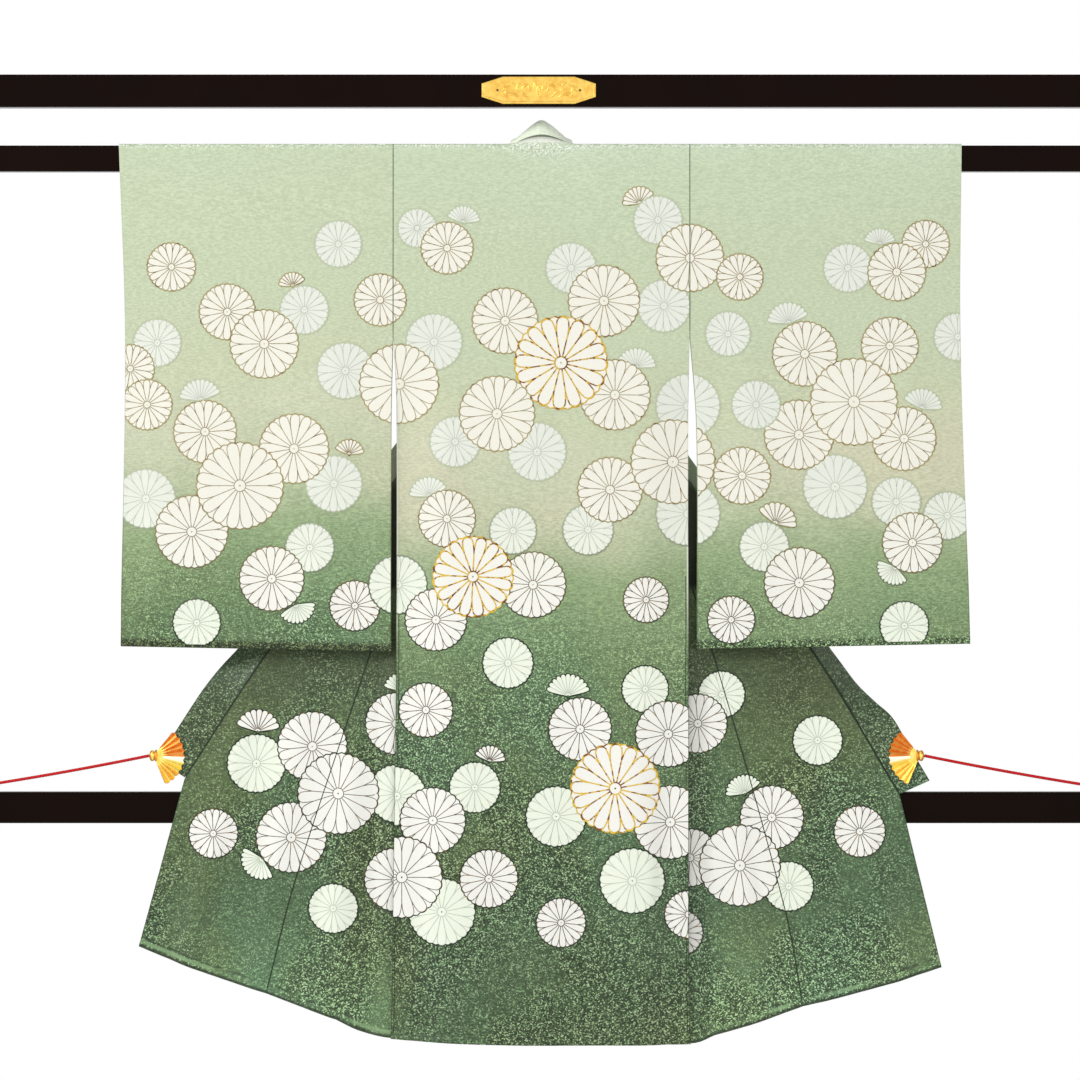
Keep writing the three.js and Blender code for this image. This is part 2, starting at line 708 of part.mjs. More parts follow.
// Fan clips: a pleated fan on the near side of the collar's edge and a plain jaw on the far side,
// both held by a knob just outside the edge
const FAN_RADIUS = 36;
const FAN_ROOT = 4.5;
const JAW_ROOT = 1.5;
const JAW_RADIUS = 28;
const FAN_SPREAD = (118 * Math.PI) / 180;
const FAN_TILT = (8 * Math.PI) / 180; // how far the fan's middle line points below level
const FAN_PLEATS = 10;
const FAN_WALL = 1;
const PLEAT_DEPTH = 0.8;
const KNOB_RADIUS = 6.5;
const KNOB_HALF = 3.9; // half the knob's width along the cord
const KNOB_OUT = 1.2; // the knob's middle, outward from the fan's centre
const CORD_DIAMETER = 3.6;

function knobPlace(side) {
  return returnedWall(side, side.knob.out, side.knob.drop, TURN_BACK);
}

// Points of a fan or jaw, opening towards the garment's middle
function fanRows(side, root, reach, pleats, depth, y) {
  return spread(-0.5, 0.5, 2 * pleats).map((share, i) => {
    const angle = share * FAN_SPREAD - FAN_TILT;
    return spread(root, reach, 2).map((radius) => {
      const ripple = (i % 2 ? 1 : -1) * depth * (radius / reach);
      return new THREE.Vector3(-side.sign * radius * Math.cos(angle), y + ripple, radius * Math.sin(angle));
    });
  });
}

function solidOf(geometry) {
  const bare = geometry.clone();
  bare.deleteAttribute("normal");
  bare.deleteAttribute("uv");
  const merged = mergeVertices(bare, 1e-4);
  return new wasm.Manifold(
    new wasm.Mesh({
      numProp: 3,
      vertProperties: merged.attributes.position.array,
      triVerts: new Uint32Array(merged.index.array),
    }),
  );
}

function geometryOf(solid) {
  const mesh = solid.getMesh();
  const geometry = new THREE.BufferGeometry();
  geometry.setAttribute("position", new THREE.BufferAttribute(mesh.vertProperties, 3));
  geometry.setIndex(new THREE.BufferAttribute(mesh.triVerts, 1));
  return geometry;
}

function fanClip(side) {
  const place = knobPlace(side);
  const jawOff = COLLAR_CLOTH / 2 + 2 * SEAM + FAN_WALL / 2;
  const fanOff = jawOff + PLEAT_DEPTH;
  const fan = shell(fanRows(side, FAN_ROOT, FAN_RADIUS, FAN_PLEATS, PLEAT_DEPTH, -fanOff), FAN_WALL);
  fan.rotateX(-Math.atan(LEAN_SLOPE));
  add("fan_" + side.name, fan, MATERIALS.gilt, place.toArray());
  const jaw = shell(fanRows(side, JAW_ROOT, JAW_RADIUS, 4, 0, jawOff), FAN_WALL);
  const knob = new THREE.SphereGeometry(KNOB_RADIUS, 12, 8);
  knob.scale(KNOB_HALF / KNOB_RADIUS, 1, 1);
  knob.translate(side.sign * KNOB_OUT, 0, 0);
  const clip = geometryOf(solidOf(jaw).add(solidOf(knob)));
  clip.rotateX(-Math.atan(LEAN_SLOPE));
  add("clip_" + side.name, clip, MATERIALS.gilt, place.toArray());
}

// Cords: from each knob out to a tie round the lower rail, beside the post
const TIE_WIDTH = 11;

function tie(side) {
  const ring = roundedSection(
    RAIL_DEPTH + 2 * (SEAM + CORD_DIAMETER),
    LOWER_RAIL_HEIGHT + 2 * (SEAM + CORD_DIAMETER),
    RAIL_CORNER + CORD_DIAMETER,
  );
  ring.holes.push(roundedSection(RAIL_DEPTH + 2 * SEAM, LOWER_RAIL_HEIGHT + 2 * SEAM, RAIL_CORNER));
  const geometry = new THREE.ExtrudeGeometry(ring, { depth: TIE_WIDTH, bevelEnabled: false, curveSegments: 3 });
  geometry.translate(0, 0, -TIE_WIDTH / 2);
  geometry.rotateX(Math.PI / 2);
  geometry.rotateZ(Math.PI / 2);
  const x = side.sign * (POST_AT - POST_SIZE / 2 - SEAM - TIE_WIDTH / 2);
  add("tie_" + side.name, geometry, MATERIALS.cord, [x, 0, SHOULDER - LOWER_RAIL_TOP - LOWER_RAIL_HEIGHT / 2]);
}

// The route is a list chosen by hand: out of the knob, a slight sag, and to the tie's near corner
function cordRoute(side) {
  const start = knobPlace(side);
  const end = new THREE.Vector3(
    side.sign * (POST_AT - POST_SIZE / 2 - TIE_WIDTH - 2 * SEAM),
    -RAIL_DEPTH / 2 - SEAM - CORD_DIAMETER / 2,
    SHOULDER - side.tieDrop,
  );
  start.x += side.sign * (KNOB_OUT + KNOB_HALF + SEAM);
  return spread(0, 1, 14).map((share) => {
    const point = start.clone().lerp(end, share);
    point.z -= 4 * 1.5 * share * (1 - share);
    return point;
  });
}

function cord(side) {
  const section = new THREE.Shape();
  section.absarc(0, 0, CORD_DIAMETER / 2, 0, 2 * Math.PI);
  const path = new THREE.CatmullRomCurve3(cordRoute(side));
  const geometry = new THREE.ExtrudeGeometry(section, {
    steps: 20,
    curveSegments: 4,
    bevelEnabled: false,
    extrudePath: path,
  });
  add("cord_" + side.name, geometry, MATERIALS.cord);
}

rack();
goldPlate();
add("back_panel", backPanel(), MATERIALS.pale);
add("collar", collar(), MATERIALS.deep);
for (const side of SIDES) {
  add("front_" + side.name, frontPanel(side), MATERIALS.deep);
  add("okumi_" + side.name, okumi(side), MATERIALS.deep);
  add("sleeve_" + side.name, sleeve(side), MATERIALS.pale);
  fanClip(side);
  tie(side);
  cord(side);
}

export default root;
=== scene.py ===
import math

import bpy
import numpy as np
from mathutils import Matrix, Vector


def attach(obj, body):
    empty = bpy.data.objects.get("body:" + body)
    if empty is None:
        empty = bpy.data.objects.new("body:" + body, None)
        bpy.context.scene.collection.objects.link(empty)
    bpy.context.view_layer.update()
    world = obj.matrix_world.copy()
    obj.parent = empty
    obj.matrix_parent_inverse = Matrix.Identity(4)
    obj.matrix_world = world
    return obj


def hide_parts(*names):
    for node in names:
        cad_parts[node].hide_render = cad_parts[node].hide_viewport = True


# A baby's one-width ceremonial kimono hung on a lacquered rack, its back towards -Y.
# Sizes are in millimetres in the part's own frame until mesh_object turns them into metres.
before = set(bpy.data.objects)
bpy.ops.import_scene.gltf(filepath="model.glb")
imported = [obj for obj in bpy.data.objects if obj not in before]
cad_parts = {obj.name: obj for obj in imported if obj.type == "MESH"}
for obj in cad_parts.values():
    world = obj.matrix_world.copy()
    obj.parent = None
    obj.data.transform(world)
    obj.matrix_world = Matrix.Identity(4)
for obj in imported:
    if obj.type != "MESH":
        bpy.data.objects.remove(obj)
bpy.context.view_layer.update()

MM = 0.001

# Sizes of the solids
SHOULDER = 1420
CLOTH = 1.6
COLLAR_CLOTH = 2.2
SEAM = 0.3
BODY_HALF = 170.5
ARMHOLE = 220
SIDE_OPENING = 316
COLLAR_WIDTH = 38
COLLAR_END = 829
HEM = 1030
RAIL_DEPTH = 20
RAIL_CORNER = 2
POST_AT = 690
POST_SIZE = 32
TOP_RAIL_DEPTH = 24
MIDDLE_RAIL_HEIGHT = 30
LOWER_RAIL_TOP = 745.5
LOWER_RAIL_HEIGHT = 36
WALL_FROM_RAIL = SEAM + CLOTH / 2
CREST = SHOULDER - CLOTH / 2
FLAT_TOP = RAIL_DEPTH / 2 - RAIL_CORNER
BEND = RAIL_CORNER + WALL_FROM_RAIL
BEND_LENGTH = math.pi / 2 * BEND
PATH_OVER_DROP = FLAT_TOP + BEND_LENGTH - BEND
ROLL_LENGTH = 12.6
TURN_BACK = 2 * ROLL_LENGTH / math.pi
HANG_GAP = 17
LEAN = RAIL_DEPTH + 2 * WALL_FROM_RAIL + TURN_BACK + 1
FREE_BELOW = MIDDLE_RAIL_HEIGHT + 8
LEAN_SLOPE = LEAN / (LOWER_RAIL_TOP - FREE_BELOW)
NECK_HALF = 24
NECK_LIFT = 9
FOLD_AT_NECK = 36.5
OKUMI_TOP = 316
HEM_REACH = 130
HEM_SAG = 2.5
SHOWN_GAP = 0.05
COLLAR_FROM_FRONT = 0.2
SLEEVE_FOOT_GAP = 5
SLEEVE_FROM_FRONT = 3

# Each side's outline as hung. "out" is the distance from the middle, "drop" the distance below the
# shoulder, and "cut" the distance below the shoulder in the cloth as it was cut. "collar_away" is how far
# the collar stands away from the rail's plane, in degrees, and "hem_full" the depth and the share of the
# width of the lower part of a front's hem, next to the body. "collar_line" is the width of its dark seam.
LEFT = {
    "sign": -1,
    "name": "left",
    "hem_corner": 1027,
    "body_edge": {"drop": (220, 300, 600, 918, 1030), "out": (170.5, 167, 167, 171, 173)},
    "sleeve_inner": {"drop": (220, 320, 583), "out": (170.5, 172.4, 172.4)},
    "sleeve_outer": {"drop": (0, 226, 577), "out": (486, 478.5, 482.8)},
    "sleeve_hem": (583, 577),
    "okumi_seam": {
        "cut": (0, 22, 300, 612, 892, 1030),
        "out": (30, 33.5, 105, 198, 283, 316.5),
        "drop": (0, 22, 300, 588, 846, 976),
    },
    "collar_seam": {"cut": (300, 657, 829), "out": (105, 316, 410), "drop": (300, 585.5, 728)},
    "collar_away": {"cut": (60, 160, 600, 668, 700, 752, 830), "away": (90, 66, 52, 41, 24, 0, 0)},
    "collar_end_slope": 34,
    "hem_point": (463, 922),
    "hem_full": (4.8, 0.45),
    "collar_line": 1.2,
    "knob": (446, 703),
    "tie_drop": 741,
}
RIGHT = {
    "sign": 1,
    "name": "right",
    "hem_corner": 1033,
    "body_edge": {"drop": (220, 320, 640, 918, 1030), "out": (170.5, 168.8, 168.8, 169, 171)},
    "sleeve_inner": {"drop": (220, 330, 583), "out": (170.5, 178, 178)},
    "sleeve_outer": {"drop": (0, 226, 575), "out": (483, 481.4, 492)},
    "sleeve_hem": (580, 574),
    "okumi_seam": {
        "cut": (0, 22, 300, 607, 918, 1030),
        "out": (30, 33.5, 105, 198, 280.7, 300.5),
        "drop": (0, 22, 300, 588, 883, 991),
    },
    "collar_seam": {"cut": (300, 641, 829), "out": (105, 311, 411.5), "drop": (300, 582, 747)},
    "collar_away": {"cut": (60, 160, 600, 668, 700, 728, 752, 830), "away": (90, 76, 74, 67, 60, 40, 0, 0)},
    "collar_end_slope": 24,
    "hem_point": (460, 946),
    "hem_full": (2.6, 0.24),
    "collar_line": 1.9,
    "knob": (435, 703),
    "tie_drop": 743,
}
SIDES = (LEFT, RIGHT)

# Soft folds: x at the fold's top, shift in x for each mm down, width, height, and the drops between
# which it fades in and out. The first rows are the solids' own, the later ones are finer.
BACK_FOLDS = (
    (-140, 0.02, 16, -3, 640, 1120),
    (-88, -0.03, 24, 2.5, 560, 1120),
    (40, 0.02, 30, -2.5, 520, 1120),
    (96, 0.03, 22, 2.5, 600, 1120),
    (146, -0.01, 14, -3, 660, 1120),
    (-118, -0.05, 7, 0.9, 760, 1090),
    (-52, 0.04, 9, -0.8, 820, 1100),
    (8, -0.03, 8, 0.7, 870, 1110),
    (62, 0.05, 7, -0.9, 800, 1090),
    (122, 0.02, 8, 1.1, 740, 1100),
    (-20, 0.0, 34, 0.9, 60, 420),
    (90, 0.05, 26, -0.8, 90, 480),
    (-100, -0.04, 22, 0.7, 130, 520),
)
SLEEVE_FOLDS = (
    (235, 0.03, 20, 1.5, 120, 640),
    (320, -0.02, 26, -1.5, 180, 640),
    (420, 0.04, 22, 1.5, 150, 640),
    (268, -0.05, 9, 0.6, 300, 600),
    (365, 0.05, 10, -0.7, 340, 610),
    (452, -0.03, 8, 0.7, 260, 590),
    (200, 0.02, 8, -0.6, 200, 560),
)
WING_FOLDS = (
    (210, 0.1, 16, -4, 640, 1120),
    (262, 0.16, 18, -3, 560, 1120),
    (330, 0.22, 16, -3.5, 600, 1060),
    (372, 0.2, 14, -3, 770, 1060),
    (188, 0.05, 7, 1.6, 700, 1110),
    (232, 0.2, 8, 1.2, 760, 1110),
    (292, 0.26, 9, 1.1, 700, 1080),
    (350, 0.3, 8, -1.0, 640, 1000),
    (404, 0.16, 7, 1.0, 780, 1010),
)
# Folds of one wing only
OWN_FOLDS = {
    "left": (
        (190, 0.02, 13, 4.2, 850, 1110),
        (222, 0.0, 12, -1.8, 900, 1100),
        (392, 1.2, 12, 1.4, 800, 880),
    ),
    "right": (
        (186, 0.03, 8, 4.0, 880, 1120),
        (262, -1.0, 11, -2.6, 925, 1060),
        (236, -1.0, 8, 2.0, 915, 1050),
        (398, 1.5, 9, 1.6, 842, 900),
    ),
}


def smooth(t):
    s = np.clip(t, 0, 1)
    return s * s * (3 - 2 * s)


def mix(a, b, t):
    return a + (b - a) * t


def curve_between(a, b, start, end, t):
    """A smooth curve from a to b, whose slopes at its ends are start and end."""
    return (
        (2 * t**3 - 3 * t**2 + 1) * a
        + (t**3 - 2 * t**2 + t) * start
        + (3 * t**2 - 2 * t**3) * b
        + (t**3 - t**2) * end
    )


def along(table, key, at, column):
    """The value of a table's column on a smooth curve through its rows, straight past both ends."""
    keys = np.array(table[key], float)
    values = np.array(table[column], float)
    at = np.asarray(at, float)
    slopes = np.gradient(values, keys)
    slopes[1:-1] = (values[2:] - values[:-2]) / (keys[2:] - keys[:-2])
    i = np.clip(np.searchsorted(keys, at, side="left") - 1, 0, len(keys) - 2)
    span = keys[i + 1] - keys[i]
    t = (at - keys[i]) / span
    curve = curve_between(values[i], values[i + 1], span * slopes[i], span * slopes[i + 1], t)
    before = values[i] + slopes[i] * (at - keys[i])
    after = values[i + 1] + slopes[i + 1] * (at - keys[i + 1])
    return np.where(t < 0, before, np.where(t > 1, after, curve))


def folded(folds, x, drop):
    height = 0.0
    for at, slant, width, rise, start, end in folds:
        across = (x - at - slant * (drop - start)) / width
        fade = 0.25 * (end - start)
        window = smooth((drop - start) / fade) * smooth((end - drop) / fade)
        height = height + rise * window * np.exp(-across * across)
    return height


def ripple(s, shift):
    """Small uneven puckers along an edge, between -1 and 1."""
    waves = ((17.0, 0.45), (11.3, 0.3), (29.0, 0.25))
    return sum(size * np.sin(2 * math.pi * s / length + shift * length) for length, size in waves)


def near_edge(distance, reach):
    """1 at an edge and outside it, fading inwards over the reach."""
    return np.exp(-np.clip(distance, 0, None) / reach)


def edge_out(table, drop):
    return np.where(drop <= ARMHOLE, BODY_HALF, along(table, "drop", drop, "out"))


def far_wall(drop):
    t = np.clip((drop - FREE_BELOW) / (LOWER_RAIL_TOP - FREE_BELOW), 0, 1)
    return RAIL_DEPTH / 2 + WALL_FROM_RAIL - LEAN * t


def wall_gap(drop):
    return mix(RAIL_DEPTH + 2 * WALL_FROM_RAIL, HANG_GAP, smooth((drop - FREE_BELOW) / 260))


def mid_wall(drop):
    return far_wall(drop) - wall_gap(drop) / 2


def body_gap(side, out, drop):
    closing = smooth((drop - ARMHOLE) / (SIDE_OPENING - ARMHOLE))
    at_seam = mix(wall_gap(drop), CLOTH + SEAM, closing)
    inside = edge_out(side["body_edge"], drop) - out
    reach = np.where(inside > 0, 60, 22)
    return mix(at_seam, wall_gap(drop), smooth(np.abs(inside) / reach))


def over_rail(direction, x, drop, y, lift):
    """Points of a wall that hangs over the rail: direction -1 is the near side, 1 the far side."""
    x, drop, y, lift = np.broadcast_arrays(
        np.asarray(x, float), np.asarray(drop, float), np.asarray(y, float), np.asarray(lift, float)
    )
    path = drop + PATH_OVER_DROP
    angle = np.clip((path - FLAT_TOP) / BEND, 0, math.pi / 2)
    reach = BEND + lift
    flat = path <= FLAT_TOP
    hung = drop >= BEND
    bent_y = direction * (FLAT_TOP + reach * np.sin(angle))
    bent_z = CREST - BEND + reach * np.cos(angle)
    place_y = np.where(flat, direction * path, np.where(hung, y + direction * lift, bent_y))
    place_z = np.where(flat, CREST + lift, np.where(hung, CREST - drop, bent_z))
    return np.stack([x, place_y, place_z], axis=-1)


# Walls of the body
def closed_wall(side, out, drop, lift):
    y = mid_wall(drop) + body_gap(side, out, drop) / 2
    return over_rail(1, side["sign"] * out, drop, y, lift)


def returned_wall(side, out, drop, lift):
    """The returned layer of a front, with its folds and the puckers along its hem and front edge."""
    point = closed_wall(side, out, drop, lift)
    beyond = smooth((out - BODY_HALF) / 40)
    from_hem = hem_drop_out(side, out) - drop
    puckers = 0.9 * ripple(out, side["sign"]) * near_edge(from_hem, 12)
    below_collar = smooth((drop - 745) / 30)
    from_edge = wing_edge(side, drop) - out
    edge_puckers = 0.8 * ripple(drop, 2.0) * near_edge(from_edge, 14) * below_collar
    folds = folded(WING_FOLDS, out, drop) + folded(OWN_FOLDS[side["name"]], out, drop)
    ridge = -1.1 * np.exp(-(((from_hem - 6.5) / 2.8) ** 2)) * (0.75 + 0.35 * ripple(out * 0.6, 1.3))
    point[..., 1] += beyond * (folds + puckers + edge_puckers + ridge)
    return point


def neck_lift(x, drop):
    across = np.clip(1 - (x / 42) ** 2, 0, None)
    down = np.clip(1 - (drop + PATH_OVER_DROP) / 60, 0, None)
    return NECK_LIFT * across**2 * down**2


def by_side(x, left, right):
    return np.where(x < 0, left, right)


def hem_drop(x):
    corner = by_side(x, LEFT["hem_corner"], RIGHT["hem_corner"])
    return mix(1034, corner, (x / BODY_HALF) ** 2)


def back_point(x, drop, lift):
    x, drop = np.asarray(x, float), np.asarray(drop, float)
    out = np.abs(x)
    gap = np.where(x < 0, body_gap(LEFT, out, drop), body_gap(RIGHT, out, drop))
    inside = smooth((BODY_HALF - out) / 25)
    puckers = 0.7 * ripple(x, 0.7) * near_edge(hem_drop(x) - drop, 12)
    y = mid_wall(drop) - gap / 2 - inside * folded(BACK_FOLDS, x, drop) + puckers
    point = over_rail(-1, x, drop, y, lift)
    point[..., 2] += neck_lift(x, drop)
    return point


# Edges of the fronts and okumi
def fold_line(side, cut):
    corner = edge_out(side["body_edge"], HEM) - 5
    return mix(FOLD_AT_NECK, corner, cut / HEM)


def turn_at(cut):
    quarter = math.pi / 2
    return 0.06 + (quarter - 0.06) * smooth((cut + 4) / 60) + quarter * smooth((cut - 30) / 130)


def row_drop(side, cut):
    return cut * mix(1, side["hem_corner"] / HEM, smooth((cut - 800) / 230))


def near_hem(cut):
    return smooth((cut - HEM + HEM_REACH) / HEM_REACH)


def front_edge(side, cut):
    corner = 32
    path = cut + PATH_OVER_DROP
    if path >= corner:
        return float(along(side["okumi_seam"], "cut", cut, "out"))
    t = max(0.0, path / corner)
    at_corner = float(along(LEFT["okumi_seam"], "cut", corner - PATH_OVER_DROP, "out"))
    return mix(NECK_HALF + 1.5, at_corner, math.sqrt(t * (2 - t)))


def edge_drop(side, cut):
    if cut < 60:
        return cut
    return float(mix(cut, along(side["okumi_seam"], "cut", cut, "drop"), smooth((cut - 60) / 200)))


def sag(cut, share):
    return HEM_SAG * near_hem(cut) * np.sin(math.pi * share)


def hem_fullness(side, cut, share):
    depth, width = side["hem_full"]
    return depth * near_hem(cut) * np.sin(math.pi * np.minimum(1, share / width))


def outer_edge(side, cut):
    end = COLLAR_END
    seam = side["collar_seam"]
    if cut <= end:
        return float(along(seam, "cut", cut, "out")), float(along(seam, "cut", cut, "drop"))
    t = (cut - end) / (HEM - end)
    return mix(seam["out"][-1], side["hem_point"][0], t), mix(seam["drop"][-1], side["hem_point"][1], t)


def edge_curves(side):
    """Three curves of the opened front as arrays of (drop, out): its okumi seam, outer edge and hem."""
    cuts = np.linspace(OKUMI_TOP, HEM, 120)
    seam = np.array([(edge_drop(side, c), front_edge(side, c)) for c in cuts])
    outer = np.array([outer_edge(side, c)[::-1] for c in cuts])
    shares = np.linspace(0, 1, 30)
    corner = np.array((side["hem_corner"], fold_line(side, HEM)))
    hem = [mix(corner, seam[-1], s) + np.array((sag(HEM, s) + hem_fullness(side, HEM, s), 0)) for s in shares]
    hem += [mix(seam[-1], outer[-1], s) + np.array((sag(HEM, s), 0)) for s in shares[1:]]
    return {"seam": seam, "outer": outer, "hem": np.array(hem)}


CURVES = {side["name"]: edge_curves(side) for side in SIDES}


def okumi_seam_out(side, drop):
    curve = CURVES[side["name"]]["seam"]
    return np.interp(drop, curve[:, 0], curve[:, 1])


def wing_edge(side, drop):
    curve = CURVES[side["name"]]["outer"]
    return np.interp(drop, curve[:, 0], curve[:, 1])


def hem_drop_out(side, out):
    curve = CURVES[side["name"]]["hem"]
    return np.interp(out, curve[:, 1], curve[:, 0])


def front_row(side, cut, edge_gap=SHOWN_GAP):
    """A row of a front at one drop of the cut cloth: closed layer, roll, returned layer."""
    drop = float(row_drop(side, cut))
    turn = float(turn_at(cut))
    radius = ROLL_LENGTH / turn
    edge = front_edge(side, cut)
    flat = max(3.0, edge - fold_line(side, cut))
    start = edge + radius * math.sin(turn) + flat * math.cos(turn)
    seam = float(edge_out(side["body_edge"], drop)) - SEAM / 2
    row = [closed_wall(side, out, drop, 0) for out in np.linspace(seam, start, 16)]
    for angle in np.linspace(0, turn, 9)[1:]:
        lift = radius * (1 - math.cos(angle))
        row.append(closed_wall(side, start - radius * math.sin(angle), drop, lift))
    rise = edge_drop(side, cut) - drop
    start_out = start - radius * math.sin(turn)
    height = radius * (1 - math.cos(turn))
    for share in np.append(np.linspace(0, 1, 25)[1:-1], 1 - edge_gap / flat):
        out = start_out - share * flat * math.cos(turn)
        lift = height + share * flat * math.sin(turn)
        low = float(sag(cut, share) + hem_fullness(side, cut, share))
        row.append(returned_wall(side, out, drop + share * rise + low, lift))
    return np.array(row)


def okumi_row(side, cut):
    inner = np.array((front_edge(side, cut), edge_drop(side, cut)))
    outer = np.array(outer_edge(side, cut))
    gap = SHOWN_GAP / np.linalg.norm(outer - inner)
    shares = np.linspace(gap, 1 - gap, 30)
    out = mix(inner[0], outer[0], shares)
    drop = mix(inner[1], outer[1], shares) + sag(cut, shares)
    return returned_wall(side, out, drop, TURN_BACK)


# Collar
def collar_seam_point(side, cut):
    if cut < OKUMI_TOP:
        return front_row(side, cut, COLLAR_FROM_FRONT)[-1]
    return returned_wall(side, *outer_edge(side, cut), TURN_BACK)


# Where the collar's sections lie along a front's edge, closest where it turns outward and at its end
COLLAR_CUTS = (
    22, 40, 60, 82, 108, 138, 172, 210, 255, 300, 350, 400, 450, 500, 550, 600, 635, 668, 700, 728, 752, 785,
)


def collar_half(side):
    """Stations along one half: a point of the seam, the way the width goes, the bend at the seam and
    whether the width is square to the seam."""
    stations = []
    for cut in COLLAR_CUTS:
        away = math.radians(max(0.0, float(along(side["collar_away"], "cut", cut, "away"))))
        full = float(turn_at(cut))
        turn = min(full, math.pi - away)
        up = 0.5 * float(smooth((cut - 60) / 200))
        way = np.array((-side["sign"] * math.cos(turn), math.sin(turn) + up * LEAN_SLOPE, up))
        stations.append((collar_seam_point(side, cut), way, full - turn, True))
    slope = math.radians(side["collar_end_slope"])
    way = np.array((side["sign"] * math.cos(slope), math.sin(slope) * LEAN_SLOPE, math.sin(slope)))
    return [*stations, (collar_seam_point(side, COLLAR_END), way, 0.0, False)]


# Where the collar leaves the neckline, and the way its width goes from there: x, the path over the
# shoulder, and the way's parts aside, back and up
NECK_WAYS = (
    (10, 0, -0.01, 0.88, 0.474),
    (20, 1, -0.04, 0.93, 0.363),
    (27, 6, 0.0, 0.967, 0.255),
    (31, 15, 0.09, 0.97, 0.226),
)


def neck_part(side):
    stations = []
    for x, path, aside, back_way, up in NECK_WAYS:
        drop = path - PATH_OVER_DROP
        seam = over_rail(1, side["sign"] * x, drop, RAIL_DEPTH / 2 + WALL_FROM_RAIL, 0)
        seam[2] += neck_lift(x, drop)
        stations.append((seam, np.array((side["sign"] * aside, back_way, up)), 0.0, False))
    return stations


def collar_stations():
    middle = (np.array((0, 0, CREST + NECK_LIFT), float), np.array((0, 0.82, 0.57)), 0.0, True)
    left = [*neck_part(LEFT), *collar_half(LEFT)][::-1]
    return [*left, middle, *neck_part(RIGHT), *collar_half(RIGHT)]


# Sleeves
def sleeve_edges(side, drop):
    inner = edge_out(side["sleeve_inner"], drop) + SEAM / 2
    return inner, along(side["sleeve_outer"], "drop", np.clip(drop, 0, None), "out")


def foot_turn(side, share):
    """The drop at which a sleeve's wall turns into its foot."""
    return mix(*side["sleeve_hem"], share) - SLEEVE_FOOT_GAP / 2 - CLOTH / 2


def sleeve_wall(side, direction, out, drop, lift):
    """A point of a sleeve's wall by its place: distance from the middle and below the shoulder."""
    inner, outer = sleeve_edges(side, drop)
    share = (out - inner) / (outer - inner)
    hem = foot_turn(side, share)
    gap = mix(wall_gap(drop), SLEEVE_FOOT_GAP, smooth((drop - hem + 70) / 70))
    waves = folded(SLEEVE_FOLDS, out, drop) * smooth((hem - drop) / 60) * smooth(share / 0.15)
    cuff = 0.7 * ripple(drop, 3.0) * near_edge(outer - out, 10) * smooth((drop - 60) / 60)
    clear = SLEEVE_FROM_FRONT * smooth((drop - ARMHOLE) / 60) if direction > 0 else 0
    y = mid_wall(drop) + direction * gap / 2 - waves - clear - cuff * smooth((hem - drop) / 30)
    return over_rail(direction, side["sign"] * out, drop, y, lift)


def sleeve_place(side, share, down):
    """Distance from the middle and below the shoulder of a grid point of the sleeve."""
    hem = foot_turn(side, share)
    drop = np.where(down <= BEND, down, mix(BEND, hem, (down - BEND) / (HEM - BEND)))
    return mix(*sleeve_edges(side, drop), share), drop


# Clips and cords
FAN_RADIUS = 36
FAN_SPREAD = math.radians(118)
FAN_TILT = math.radians(8)
KNOB_HALF = 3.9
KNOB_OUT = 1.2
CORD_DIAMETER = 3.6
TIE_WIDTH = 11
ROUTE_POINTS = 15
ROUTE_SAG = 1.5
CORD_STRANDS = 3
CORD_PITCH = 11
KNOT_PITCH = 9


def knob_place(side):
    return returned_wall(side, side["knob"][0], side["knob"][1], TURN_BACK)


def cord_route(side):
    sign = side["sign"]
    start = knob_place(side) + np.array((sign * (KNOB_OUT + KNOB_HALF + SEAM), 0, 0))
    end = np.array(
        (
            sign * (POST_AT - POST_SIZE / 2 - TIE_WIDTH - 2 * SEAM),
            -RAIL_DEPTH / 2 - SEAM - CORD_DIAMETER / 2,
            SHOULDER - side["tie_drop"],
        )
    )
    shares = np.linspace(0, 1, ROUTE_POINTS)[:, None]
    route = mix(start, end, shares)
    route[:, 2:] -= 4 * ROUTE_SAG * shares * (1 - shares)
    return route


# Mesh helpers
def polar(radius, angle):
    return np.stack([radius * np.cos(angle), radius * np.sin(angle)], axis=-1)


def mesh_object(name, points, faces, materials, indices=None, sharp=None):
    """An object from points in millimetres and faces. Sharp is the angle that keeps an edge crisp."""
    mesh = bpy.data.meshes.new(name)
    mesh.from_pydata((np.asarray(points) * MM).tolist(), [], [list(map(int, f)) for f in faces])
    for made in materials:
        mesh.materials.append(made)
    if indices is not None:
        mesh.polygons.foreach_set("material_index", np.asarray(indices, np.int32))
    mesh.polygons.foreach_set("use_smooth", np.ones(len(mesh.polygons), bool))
    if sharp is not None:
        mesh.set_sharp_from_angle(angle=math.radians(sharp))
    mesh.update()
    made_object = bpy.data.objects.new(name, mesh)
    bpy.context.scene.collection.objects.link(made_object)
    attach(made_object, "root")
    return made_object


def grid_faces(rows, columns, loop_rows=False, loop_columns=False):
    i = np.arange(rows if loop_rows else rows - 1)
    j = np.arange(columns if loop_columns else columns - 1)
    i, j = [a.ravel() for a in np.meshgrid(i, j, indexing="ij")]
    below = (i + 1) % rows
    beside = (j + 1) % columns
    corners = (i * columns + j, below * columns + j, below * columns + beside, i * columns + beside)
    return np.stack(corners, axis=1)


def normals_of(grid, loop):
    if loop:
        down = np.roll(grid, -1, axis=0) - np.roll(grid, 1, axis=0)
    else:
        down = np.gradient(grid, axis=0)
    normal = np.cross(down, np.gradient(grid, axis=1))
    return normal / np.linalg.norm(normal, axis=-1, keepdims=True)


def run_along(grid, axis):
    """How far each point lies along its row or column from the first one."""
    steps = np.linalg.norm(np.diff(grid, axis=axis), axis=-1)
    start = np.zeros_like(np.take(steps, [0], axis=axis))
    return np.concatenate([start, np.cumsum(steps, axis=axis)], axis=axis)


